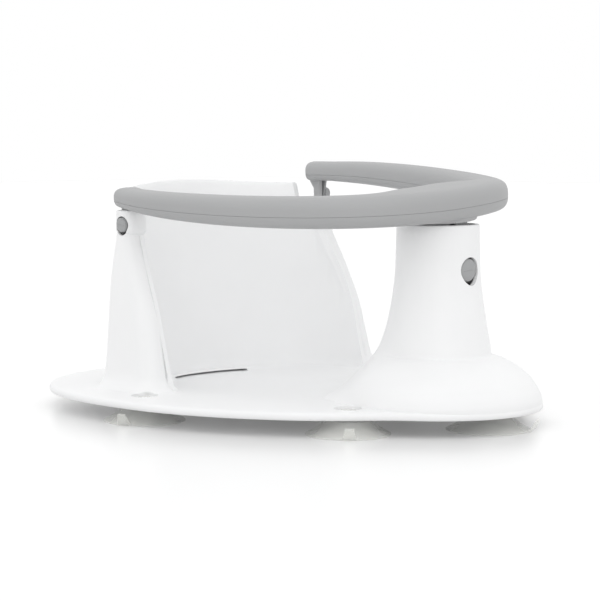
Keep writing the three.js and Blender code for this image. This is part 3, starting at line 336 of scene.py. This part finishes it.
def pan_ring(depth, side, back, front, outset=0.0, facets=160):
    ring = []
    for angle in circle_points(facets):
        c, s = math.cos(angle), math.sin(angle)
        reach = (back if s > 0 else front) + outset
        ring.append(Vector(((side + outset) * signed_power(c, 2 / PAN_POWER),
                            PAN_Y + reach * signed_power(s, 2 / PAN_POWER), PLATE_Z - depth - outset)))
    return ring


pan_body = as_object("pan_body", loft([pan_ring(*row, outset=WALL) for row in PAN_ROWS]))
pan = as_object("pan", loft([pan_ring(*row) for row in PAN_ROWS] + [pan_ring(-2.0, 89.5, 76.8, 64.0)]))
combine(seat, [pan_body], "UNION")
combine(seat, [pan], "DIFFERENCE")

cup_spots = [(-REAR_CUP_X, REAR_CUP_Y), (REAR_CUP_X, REAR_CUP_Y), (-FRONT_CUP_X, FRONT_CUP_Y),
             (FRONT_CUP_X, FRONT_CUP_Y), (0.0, NOSE_CUP_Y)]
bosses = [round_tool("boss", x, y, 11.1, 17.4 if x else 37.0, POCKET_RADIUS + WALL) for x, y in cup_spots]
pockets = [round_tool("pocket", x, y, POCKET_FLOOR_Z, 40.0 if x else 30.0, POCKET_RADIUS)
           for x, y in cup_spots]
necks = [round_tool("neck_hole", x, y, 5.0, 20.0, NECK_HOLE_RADIUS, 32) for x, y in cup_spots]
combine(seat, bosses, "UNION")
combine(seat, necks + pockets, "DIFFERENCE")


def egg_tool(radius, drop, depth):
    """An egg-shaped bar along +X, with more room below than above."""
    bm = bmesh.new()
    bmesh.ops.create_cone(bm, cap_ends=True, segments=56, radius1=radius, radius2=radius, depth=depth)
    for vert in bm.verts:
        if vert.co.x > 0:
            vert.co.x *= 1 + drop / radius
            vert.co.y *= 1 - 0.12 * (vert.co.x / (radius + drop)) ** 2
    turn(bm, 90, "Y")
    move(bm, depth / 2, 0, 0)
    return bm


holes = []
for degrees, x, y, z, radius in [(0, LEG_X, LEG_Y, LATCH_Z, HOLE_RADIUS),
                                 (180, -LEG_X, LEG_Y, LATCH_Z, HOLE_RADIUS),
                                 (-90, 0, COLUMN_Y, COLUMN_LATCH_Z, COLUMN_HOLE_RADIUS)]:
    hole = egg_tool(radius, HOLE_DROP, 60)
    turn(hole, degrees, "Z")
    move(hole, x, y, z)
    holes.append(as_object("hole", hole))
# drain slot at the foot of the backrest, which lets the water down outside its wall
slot = swept([
    (DRAIN_INNER_RADIUS, DRAIN_BOTTOM_Z), (SHELL_INNER_RADIUS, DRAIN_BOTTOM_Z), (SHELL_INNER_RADIUS, 4),
    (DRAIN_OUTER_RADIUS, 4), (DRAIN_OUTER_RADIUS, DRAIN_TOP_Z), (DRAIN_INNER_RADIUS, DRAIN_TOP_Z)],
    DRAIN_HALF_ANGLE, 40)
move(slot, 0, SHELL_Y, 0)
bmesh.ops.recalc_face_normals(slot, faces=slot.faces)
holes.append(as_object("slot", slot))
combine(seat, holes, "DIFFERENCE")


def add_socket(group, name, way, kind, value=None):
    socket = group.interface.new_socket(name=name, in_out=way, socket_type=kind)
    if value is not None:
        socket.default_value = value


def moulded_finish():
    """Node group: fine spark-eroded grain and slow unevenness that every moulded plastic piece here has."""
    group = bpy.data.node_groups.new("moulded_finish", "ShaderNodeTree")
    add_socket(group, "Color", "INPUT", "NodeSocketColor", (0.8, 0.8, 0.8, 1))
    add_socket(group, "Roughness", "INPUT", "NodeSocketFloat", 0.4)
    add_socket(group, "Grain Size", "INPUT", "NodeSocketFloat", 2500.0)
    add_socket(group, "Grain Depth", "INPUT", "NodeSocketFloat", 0.1)
    add_socket(group, "Color", "OUTPUT", "NodeSocketColor")
    add_socket(group, "Roughness", "OUTPUT", "NodeSocketFloat")
    add_socket(group, "Normal", "OUTPUT", "NodeSocketVector")
    nodes, links = group.nodes, group.links
    entry = nodes.new("NodeGroupInput")
    leave = nodes.new("NodeGroupOutput")
    place = nodes.new("ShaderNodeTexCoord")
    slow = nodes.new("ShaderNodeTexNoise")
    slow.inputs["Scale"].default_value = 18.0
    slow.inputs["Detail"].default_value = 3.0
    links.new(place.outputs["Object"], slow.inputs["Vector"])
    grain = nodes.new("ShaderNodeTexNoise")
    grain.inputs["Detail"].default_value = 2.0
    links.new(place.outputs["Object"], grain.inputs["Vector"])
    links.new(entry.outputs["Grain Size"], grain.inputs["Scale"])
    tint = nodes.new("ShaderNodeMapRange")
    tint.inputs["To Min"].default_value = 0.965
    tint.inputs["To Max"].default_value = 1.02
    links.new(slow.outputs["Fac"], tint.inputs["Value"])
    shade = nodes.new("ShaderNodeVectorMath")
    shade.operation = "SCALE"
    links.new(entry.outputs["Color"], shade.inputs[0])
    links.new(tint.outputs["Result"], shade.inputs["Scale"])
    links.new(shade.outputs["Vector"], leave.inputs["Color"])
    uneven = nodes.new("ShaderNodeMapRange")
    uneven.inputs["To Min"].default_value = -0.04
    uneven.inputs["To Max"].default_value = 0.04
    links.new(slow.outputs["Fac"], uneven.inputs["Value"])
    rough = nodes.new("ShaderNodeMath")
    rough.operation = "ADD"
    links.new(entry.outputs["Roughness"], rough.inputs[0])
    links.new(uneven.outputs["Result"], rough.inputs[1])
    links.new(rough.outputs["Value"], leave.inputs["Roughness"])
    bump = nodes.new("ShaderNodeBump")
    bump.inputs["Distance"].default_value = 0.0002
    links.new(entry.outputs["Grain Depth"], bump.inputs["Strength"])
    links.new(grain.outputs["Fac"], bump.inputs["Height"])
    links.new(bump.outputs["Normal"], leave.inputs["Normal"])
    return group


finish_group = moulded_finish()


def new_material(name):
    """A material, with its shader, nodes and links."""
    material = bpy.data.materials.new(name)
    material.use_nodes = True
    nodes = material.node_tree.nodes
    return material, nodes["Principled BSDF"], nodes, material.node_tree.links


def plastic(name, color, roughness, grain_size, grain_depth):
    material, shader, nodes, links = new_material(name)
    skin = nodes.new("ShaderNodeGroup")
    skin.node_tree = finish_group
    skin.inputs["Color"].default_value = (*color, 1)
    skin.inputs["Roughness"].default_value = roughness
    skin.inputs["Grain Size"].default_value = grain_size
    skin.inputs["Grain Depth"].default_value = grain_depth
    for output, socket in [("Color", "Base Color"), ("Roughness", "Roughness"), ("Normal", "Normal")]:
        links.new(skin.outputs[output], shader.inputs[socket])
    return material


def dress(obj, material, body, slot, *nodes):
    """Scales a finished piece to metres, shades it, gives it its material, hangs it on its body and hides
    the CAD nodes it stands for.
    """
    obj.data.transform(Matrix.Scale(MM, 4))
    obj.data.materials.clear()
    obj.data.materials.append(material)
    obj.data.shade_smooth()
    obj.data.set_sharp_from_angle(angle=math.radians(35))
    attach(obj, body)
    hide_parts(*nodes)


white_plastic = plastic("white_moulded_plastic", (0.885, 0.888, 0.892), 0.36, 1400.0, 0.04)
dress(seat, white_plastic, "seat", "seat", "seat_moulding")

# Safety ring: two grey shells that meet at a seam low on the side, screwed together from below.
# Matt moulded plastic with a soft-touch grain. It is drawn as it lies when all three legs are home.
PIVOT = Vector((-109.7, LEG_Y, LATCH_Z))
TILT_AXIS = Vector((0.41827, -0.90229, -0.10447))
TILT_ANGLE = 5.6                     # degrees
TILT = (Matrix.Translation(PIVOT) @ Matrix.Rotation(math.radians(TILT_ANGLE), 4, TILT_AXIS)
        @ Matrix.Translation(-PIVOT))
RING_Y, RING_Z = 14.8, 154.2
RING_HALF_WIDTH = 113.8
RING_BACK_REACH, RING_FRONT_REACH = 147.7, 150.4
RING_POWER = 2.1
RING_END_Y = 91.2
RING_END_HEIGHT, RING_RISE, RING_RISE_LENGTH = 14.8, 8.2, 100.0
RING_FLAT_END = 11.0
RING_END_HALF_WIDTH, RING_SWELL = 11.0, 2.2
HUB_REACH, HUB_HALF_LENGTH = 33.5, 60.0
END_REACH, END_ROUND = 8.0, 3.2      # of the flat face past either end of the ring's path
WIDE_POWER, TALL_POWER = 0.62, 0.72  # how square the ring's section is
SEAM_Z, SEAM_HALF_GAP = 152.2, 0.08


def ring_path(count=2000):
    end = math.asin(((RING_END_Y - RING_Y) / RING_BACK_REACH) ** (RING_POWER / 2))
    points = []
    for i in range(count + 1):
        angle = math.pi - end + (math.pi + 2 * end) * i / count
        c, s = math.cos(angle), math.sin(angle)
        reach = RING_BACK_REACH if s > 0 else RING_FRONT_REACH
        points.append(Vector((RING_HALF_WIDTH * signed_power(c, 2 / RING_POWER),
                              RING_Y + reach * signed_power(s, 2 / RING_POWER), 0)))
    return points


path = ring_path()
path_run = [0.0]
for before, after in zip(path, path[1:]):
    path_run.append(path_run[-1] + (after - before).length)
ring_length = path_run[-1]


def on_path(share):
    """Point and direction at a share of the ring's length."""
    run = share * ring_length
    low, high = 0, len(path) - 1
    while high - low > 1:
        middle = (low + high) // 2
        low, high = (middle, high) if path_run[middle] <= run else (low, middle)
    part = (run - path_run[low]) / (path_run[high] - path_run[low])
    ahead = (path[min(high + 6, len(path) - 1)] - path[max(low - 6, 0)]).normalized()
    return path[low].lerp(path[high], part), ahead


def ring_height(from_end):
    past = max(from_end - RING_FLAT_END, 0.0)
    return RING_END_HEIGHT + RING_RISE * (1 - math.exp(-past / RING_RISE_LENGTH))


def ring_section(share, is_upper, past=0.0, inset=0.0, facets=40):
    """A section of one shell, from seam to seam; past is its reach beyond an end, inset rounds its edge."""
    centre, ahead = on_path(share)
    outward = Vector((ahead.y, -ahead.x, 0))
    from_end = min(share, 1 - share) * ring_length
    from_front = abs(share - 0.5) * ring_length
    height = ring_height(from_end)
    half = RING_END_HALF_WIDTH + RING_SWELL * (height - RING_END_HEIGHT) / RING_RISE
    hub = HUB_REACH * math.exp(-(from_front / HUB_HALF_LENGTH) ** 4)
    tall = height / 2 - inset
    seam = SEAM_Z + (SEAM_HALF_GAP if is_upper else -SEAM_HALF_GAP)
    dip = math.asin(((RING_Z - seam) / tall) ** (1 / TALL_POWER))
    first, last = (-dip, math.pi + dip) if is_upper else (math.pi + dip, 2 * math.pi - dip)
    section = []
    for i in range(facets + 1):
        angle = first + (last - first) * i / facets
        across = signed_power(math.cos(angle), WIDE_POWER)
        reach = half if across > 0 else half + hub
        point = centre + ahead * past + outward * across * (reach - inset)
        point.z = RING_Z + signed_power(math.sin(angle), TALL_POWER) * tall
        section.append(point)
    return section


def end_sections(share, is_upper, direction):
    """The flat end face of a shell and its rounded edge."""
    sections = []
    for part in (0.0, 0.1, 0.28, 0.55, 1.0):
        inset = END_ROUND * (1 - math.sqrt(1 - (1 - part) ** 2))
        sections.append(ring_section(share, is_upper, direction * (END_REACH - END_ROUND * part), inset))
    return sections


def half_ring(is_upper, stations=150):
    """A shell from end face to end face; the strip that closes its sections is the face at the seam."""
    middle = [ring_section(i / stations, is_upper) for i in range(stations + 1)]
    return loft(end_sections(0.0, is_upper, -1) + middle + end_sections(1.0, is_upper, 1)[::-1])


upper = as_object("ring_upper", half_ring(True))
lower = as_object("ring_lower", half_ring(False))

# the lifted arm gives a little under its own weight: droop in millimetres at angles round the ring
DROOP = through([
    (-84, 0.0), (-76, -0.5), (-66, -1.9), (-58, -3.3), (-45, -4.2), (-32, -4.1), (-21, -3.6), (-8.6, -2.6),
    (0, -1.9), (17, -0.6), (30, -0.1), (37, 0.0)], 4)


def droop(x, y):
    angle = math.degrees(math.atan2(y - RING_Y, x))
    if not DROOP[0][0] < angle < DROOP[-1][0]:
        return 0.0
    for (low, before), (high, after) in zip(DROOP, DROOP[1:]):
        if low <= angle <= high:
            return before + (after - before) * (angle - low) / (high - low)
    return 0.0


for half in (upper, lower):
    bm = bmesh.new()
    bm.from_mesh(half.data)
    for vert in bm.verts:
        vert.co.z += droop(vert.co.x, vert.co.y)
    bm.to_mesh(half.data)
    bm.free()

# places of the screws, with the height of the ring's underside there
SCREW_SHARES = (0.13, 0.28, 0.4)
SCREW_SEAT_RADIUS, SCREW_SEAT_DEPTH = 3.4, 2.1
screw_spots = []
for row, share in enumerate(SCREW_SHARES, 1):
    for side, along in (("left", share), ("right", 1 - share)):
        centre, _ = on_path(along)
        bottom = RING_Z - ring_height(share * ring_length) / 2 + droop(centre.x, centre.y)
        screw_spots.append((f"{side}_{row}", centre.x, centre.y, bottom))
screw_seats = [round_tool("screw_seat", x, y, 120.0, bottom + SCREW_SEAT_DEPTH, SCREW_SEAT_RADIUS, 32)
               for _, x, y, bottom in screw_spots]
combine(lower, screw_seats, "DIFFERENCE")


def spun(name, profile, x, y, segments=96):
    """A turned shape from its profile of (radius, z), closed on the axis."""
    bm = bmesh.new()
    verts = [bm.verts.new((radius, 0.0, z)) for radius, z in profile]
    edges = [bm.edges.new(pair) for pair in zip(verts, verts[1:])]
    bmesh.ops.spin(bm, geom=[*verts, *edges], cent=(0, 0, 0), axis=(0, 0, 1), dvec=(0, 0, 0),
                   angle=2 * math.pi, steps=segments, use_merge=True, use_duplicate=False)
    bmesh.ops.remove_doubles(bm, verts=bm.verts, dist=0.0005)
    bmesh.ops.recalc_face_normals(bm, faces=bm.faces)
    move(bm, x, y, 0)
    return as_object(name, bm)


BOSS_RADIUS = 27.6
COLUMN_LEG_RADIUS, COLUMN_LEG_WALL, COLUMN_LEG_BOTTOM = 20.8, 2.5, 93.0


def boss_ring(z, grow, facets=96):
    """Outline of the boss over the column; it spreads less towards the ring's front edge."""
    ring = []
    for angle in circle_points(facets):
        radius = BOSS_RADIUS + grow * (1.0 - 0.8 * smoothstep(-math.sin(angle), 0.72, 1.0))
        ring.append(Vector((radius * math.cos(angle), COLUMN_Y + radius * math.sin(angle), z)))
    return ring


hub_boss = as_object("hub_boss", loft([
    boss_ring(z, grow) for z, grow in [
        (141.7, -0.7), (141.9, -0.2), (142.3, 0.0), (142.8, 0.15), (143.4, 0.6), (144.0, 1.4), (144.6, 2.6),
        (145.1, 4.2), (145.5, 5.4), (147.0, 5.4)]]))
column_leg = spun("column_leg", [
    (0, COLUMN_LEG_BOTTOM), (COLUMN_LEG_RADIUS - 0.6, COLUMN_LEG_BOTTOM),
    (COLUMN_LEG_RADIUS, COLUMN_LEG_BOTTOM + 0.6), (COLUMN_LEG_RADIUS, 145.0), (0, 145.0)], 0, COLUMN_Y)


def block(name, low, high, ease=0.5):
    bm = bmesh.new()
    bmesh.ops.create_cube(bm, size=1.0)
    low, high = Vector(low), Vector(high)
    bmesh.ops.scale(bm, verts=bm.verts, vec=high - low)
    move(bm, *((low + high) / 2))
    if ease:
        bmesh.ops.bevel(bm, geom=bm.edges[:], offset=ease, segments=3, profile=0.5, affect="EDGES",
                        material=-1)
    return as_object(name, bm)


LEG_INNER_X, LEG_OUTER_X, LATCH_SLOT_X = 95.1, 98.5, 107.1
LEG_HALF_WIDTH = 3.3
legs, latch_slots = [], []
for side in (-1, 1):
    inner, outer = sorted((side * LEG_INNER_X, side * LEG_OUTER_X))
    legs.append(block("leg", (inner, LEG_Y - LEG_HALF_WIDTH, 118.0), (outer, LEG_Y + LEG_HALF_WIDTH, 151.0)))
    web = [(inner, LEG_Y + y, z) for y, z in [(2.8, 140.4), (7.4, 147.4), (2.8, 147.4)]]
    legs.append(as_object("web", pushed(web, (outer - inner, 0, 0))))
    near, far = sorted((side * LEG_OUTER_X, side * LATCH_SLOT_X))
    latch_slots.append(block("latch_slot", (near, LEG_Y - 3.6, 130), (far, LEG_Y + 3.6, 151.5), 0))
combine(lower, [hub_boss, column_leg, *legs], "UNION")
window = block("window", (-8.8, COLUMN_Y - 25.8, 70), (8.8, COLUMN_Y, 141.0), 0)
leg_bore = round_tool("leg_bore", 0, COLUMN_Y, 70, 143.0, COLUMN_LEG_RADIUS - COLUMN_LEG_WALL, 64)
combine(lower, [window, leg_bore, *latch_slots], "DIFFERENCE")
grey_plastic = plastic("grey_soft_touch_plastic", (0.39, 0.393, 0.397), 0.5, 1800.0, 0.16)
for half, node in ((upper, "ring_upper_shell"), (lower, "ring_lower_shell")):
    half.data.transform(TILT)
    dress(half, grey_plastic, "ring", "ring", node)

# Ring screws: six small plated screws, sunk in the lower shell from below, with a cross recess.
# Turned steel with a dull zinc coat; they hold the two shells of the ring together.
SCREW_HEAD_RADIUS, SCREW_RADIUS = 3.1, 1.3
RECESS_REACH, RECESS_HALF_WIDTH = 1.7, 0.35


def clouded(name, scale, dark, light, smooth, rough):
    """A material whose colour and roughness drift together between two limits."""
    material, shader, nodes, links = new_material(name)
    place = nodes.new("ShaderNodeTexCoord")
    noise = nodes.new("ShaderNodeTexNoise")
    noise.inputs["Scale"].default_value = scale
    links.new(place.outputs["Object"], noise.inputs["Vector"])
    tint = nodes.new("ShaderNodeValToRGB")
    tint.color_ramp.elements[0].color = (*dark, 1)
    tint.color_ramp.elements[1].color = (*light, 1)
    links.new(noise.outputs["Fac"], tint.inputs["Fac"])
    links.new(tint.outputs["Color"], shader.inputs["Base Color"])
    gloss = nodes.new("ShaderNodeMapRange")
    gloss.inputs["To Min"].default_value = smooth
    gloss.inputs["To Max"].default_value = rough
    links.new(noise.outputs["Fac"], gloss.inputs["Value"])
    links.new(gloss.outputs["Result"], shader.inputs["Roughness"])
    return material, shader


steel, steel_shader = clouded("plated_screw_steel", 900.0, (0.42, 0.42, 0.43), (0.62, 0.62, 0.63),
                              0.25, 0.45)
steel_shader.inputs["Metallic"].default_value = 1.0
for spot, x, y, bottom in screw_spots:
    screw = spun("screw_" + spot, [
        (0, bottom + 0.2), (2.2, bottom + 0.2), (2.9, bottom + 0.5), (SCREW_HEAD_RADIUS, bottom + 1.0),
        (SCREW_HEAD_RADIUS, bottom + 1.8), (SCREW_RADIUS, bottom + 2.0), (SCREW_RADIUS, bottom + 12.0),
        (0, bottom + 12.6)], x, y, 32)
    cross = [block("cross", (x - along, y - across, bottom - 1), (x + along, y + across, bottom + 1.2), 0)
             for along, across in [(RECESS_REACH, RECESS_HALF_WIDTH), (RECESS_HALF_WIDTH, RECESS_REACH)]]
    combine(screw, cross, "DIFFERENCE")
    screw.data.transform(TILT)
    dress(screw, steel, "ring", "screw", "ring_screw_" + spot)

# Latches: a springy plate hung in the ring beside each leg, with a round push button near its lower end.
# Moulded in a slightly darker grey than the ring; a fine rib crosses each button's face for the thumb.
latch_plastic = plastic("latch_grey_plastic", (0.36, 0.365, 0.37), 0.42, 2400.0, 0.06)


def latch(name, drop, radius, width, reach):
    """A latch with its root at the origin, its plate hanging down and its button pointing along +X."""
    plate = block(name, (-1.8, -width / 2, -drop - 5.6), (0, width / 2, 2.0), 0.35)
    root = block("root", (-3.4, -width / 2, -1.0), (-0.6, width / 2, 2.0), 0.3)
    button = spun("button", [
        (0, -0.9), (radius, -0.9), (radius, reach - 1.3), (radius - 0.15, reach - 0.75),
        (radius - 0.5, reach - 0.3), (radius - 1.1, reach - 0.08), (radius - 2.0, reach),
        (0, reach)], 0, 0, 64)
    button.data.transform(Matrix.Translation((0, 0, -drop)) @ Matrix.Rotation(math.radians(90), 4, "Y"))
    rib_reach = 0.72 * radius
    rib = block("rib", (reach - 0.5, -rib_reach, -drop - 0.3), (reach + 0.25, rib_reach, -drop + 0.3), 0.2)
    return combine(plate, [root, button, rib], "UNION")


LATCH_X = 106.2
LATCH_SIZES = (18.6, 5.3, 6.6, 4.3)
FRONT_LATCH_SIZES = (39.8, 8.0, 12.0, 6.2)
RIGHT_LATCH_PRESS = 13.367           # degrees; the photograph shows this button pressed in
for side, sizes, place, facing, pressed in [
        ("left", LATCH_SIZES, (-LATCH_X, LEG_Y, RING_Z), 180, 0.0),
        ("right", LATCH_SIZES, (LATCH_X, LEG_Y, RING_Z), 0, RIGHT_LATCH_PRESS),
        ("front", FRONT_LATCH_SIZES, (0, COLUMN_Y - 21.75, 148.0), -90, 0.0)]:
    piece = latch("latch_piece_" + side, *sizes)
    piece.data.transform(TILT @ Matrix.Translation(place) @ Matrix.Rotation(math.radians(facing), 4, "Z")
                         @ Matrix.Rotation(math.radians(pressed), 4, "Y"))
    dress(piece, latch_plastic, side + "_latch", "latch", "latch_" + side)

# Suction cups: five clear soft cups whose mushroom heads are pulled through the base, each with a pull tab.
# Soft see-through plastic, slightly milky where it is thick.
CUP_PROFILE = [
    (0, 5.0), (6, 4.9), (12, 4.2), (18, 2.9), (23, 1.4), (27.2, 0.25), (28.4, 0.0), (29.0, 0.25),
    (29.0, 0.8), (28.0, 1.5), (25.0, 3.0), (21.5, 5.2), (18.6, 7.6), (17.0, 9.4), (16.0, 10.3), (15.0, 10.7),
    (6.0, 10.8), (4.6, 11.0), (4.2, 11.4), (4.2, 13.8), (4.6, 13.95), (6.2, 14.0), (6.6, 14.4), (6.5, 15.2),
    (5.9, 16.2), (4.8, 16.8), (3.0, 17.0), (0, 17.0)]
TAB_PROFILE = [
    (26.2, 0.4), (30.0, 0.4), (32.5, 2.2), (35.6, 8.3), (34.0, 9.0), (31.0, 3.4), (29.0, 1.8), (26.2, 1.8)]
TAB_WIDTH = 8.5
cup_plastic, cup_shader = clouded("clear_cup_plastic", 60.0, (0.93, 0.94, 0.89), (0.98, 0.985, 0.95),
                                  0.12, 0.26)
cup_shader.inputs["Alpha"].default_value = 0.3
cup_shader.inputs["IOR"].default_value = 1.42
for name, x, y, tab_angle in [
        ("rear_left", -REAR_CUP_X, REAR_CUP_Y, 200), ("rear_right", REAR_CUP_X, REAR_CUP_Y, -20),
        ("front_left", -FRONT_CUP_X, FRONT_CUP_Y, 224), ("front_right", FRONT_CUP_X, FRONT_CUP_Y, 30),
        ("nose", 0.0, NOSE_CUP_Y, -66)]:
    cup = spun("cup_" + name, CUP_PROFILE, 0, 0)
    tab = pushed([(radius, -TAB_WIDTH / 2, z) for radius, z in TAB_PROFILE], (0, TAB_WIDTH, 0))
    for vert in tab.verts:
        vert.co.y *= 1.0 - 0.5 * smoothstep(vert.co.x, 31.5, 36.0)
    turn(tab, tab_angle, "Z")
    combine(cup, [as_object("tab", tab)], "UNION")
    cup.data.transform(Matrix.Translation((x, y, 0)))
    dress(cup, cup_plastic, "seat", "cup", "suction_cup_" + name)

# Studio: white floor and surroundings, soft light from above and the left.
# The camera stands at the photograph's angle.
floor_mesh = bmesh.new()
bmesh.ops.create_grid(floor_mesh, x_segments=1, y_segments=1, size=6.0)
floor = as_object("floor", floor_mesh)


def seen_by(nodes, links, *rays):
    """1 where one of the named kinds of ray looks, else 0."""
    light_path = nodes.new("ShaderNodeLightPath")
    seen = light_path.outputs[rays[0]]
    for ray in rays[1:]:
        either = nodes.new("ShaderNodeMath")
        either.operation = "MAXIMUM"
        links.new(seen, either.inputs[0])
        links.new(light_path.outputs[ray], either.inputs[1])
        seen = either.outputs["Value"]
    return seen


floor_white, floor_shader, nodes, links = new_material("studio_white")
floor_shader.inputs["Base Color"].default_value = (0.8, 0.8, 0.8, 1)
floor_shader.inputs["Roughness"].default_value = 0.25
floor_shader.inputs["Emission Color"].default_value = (1, 1, 1, 1)
lift = nodes.new("ShaderNodeMath")
lift.operation = "MULTIPLY"
lift.inputs[1].default_value = 0.13
links.new(seen_by(nodes, links, "Is Camera Ray", "Is Glossy Ray"), lift.inputs[0])
links.new(lift.outputs["Value"], floor_shader.inputs["Emission Strength"])
floor.data.materials.append(floor_white)

world = bpy.data.worlds.new("studio")
bpy.context.scene.world = world
world.use_nodes = True
nodes, links = world.node_tree.nodes, world.node_tree.links
backdrop = nodes["Background"]
backdrop.inputs["Color"].default_value = (1, 1, 1, 1)
strength = nodes.new("ShaderNodeMapRange")
strength.inputs["To Min"].default_value = 1.06
strength.inputs["To Max"].default_value = 1.0
clear = seen_by(nodes, links, "Is Camera Ray", "Is Glossy Ray", "Is Transmission Ray")
links.new(clear, strength.inputs["Value"])
links.new(strength.outputs["Result"], backdrop.inputs["Strength"])


def soft_lamp(name, place, size, power):
    light = bpy.data.lights.new(name, "AREA")
    light.shape = "DISK"
    light.size = size
    light.energy = power
    lamp = bpy.data.objects.new(name, light)
    lamp.location = place
    aim = Vector((0, 0, 0.08)) - Vector(place)
    lamp.rotation_euler = aim.to_track_quat("-Z", "Y").to_euler()
    bpy.context.scene.collection.objects.link(lamp)


soft_lamp("key", (-1.1, -0.5, 1.8), 1.6, 2.4)
soft_lamp("fill", (-1.2, -1.7, 0.8), 1.8, 3.2)

camera_data = bpy.data.cameras.new("camera")
camera_data.lens = 117.37
camera_data.sensor_width = 36.0
camera_data.clip_end = 50.0
camera = bpy.data.objects.new("camera", camera_data)
right = Vector((0.69171, -0.72218, 0.0))
up = Vector((0.05915, 0.05665, 0.99664))
back = Vector((-0.71975, -0.68938, 0.08190))
turned = Matrix((right, up, back)).transposed().to_4x4()
camera.matrix_world = Matrix.Translation((-1.04568, -0.98586, 0.19775)) @ turned
bpy.context.scene.collection.objects.link(camera)
bpy.context.scene.camera = camera
bpy.context.scene.view_settings.view_transform = "Standard"
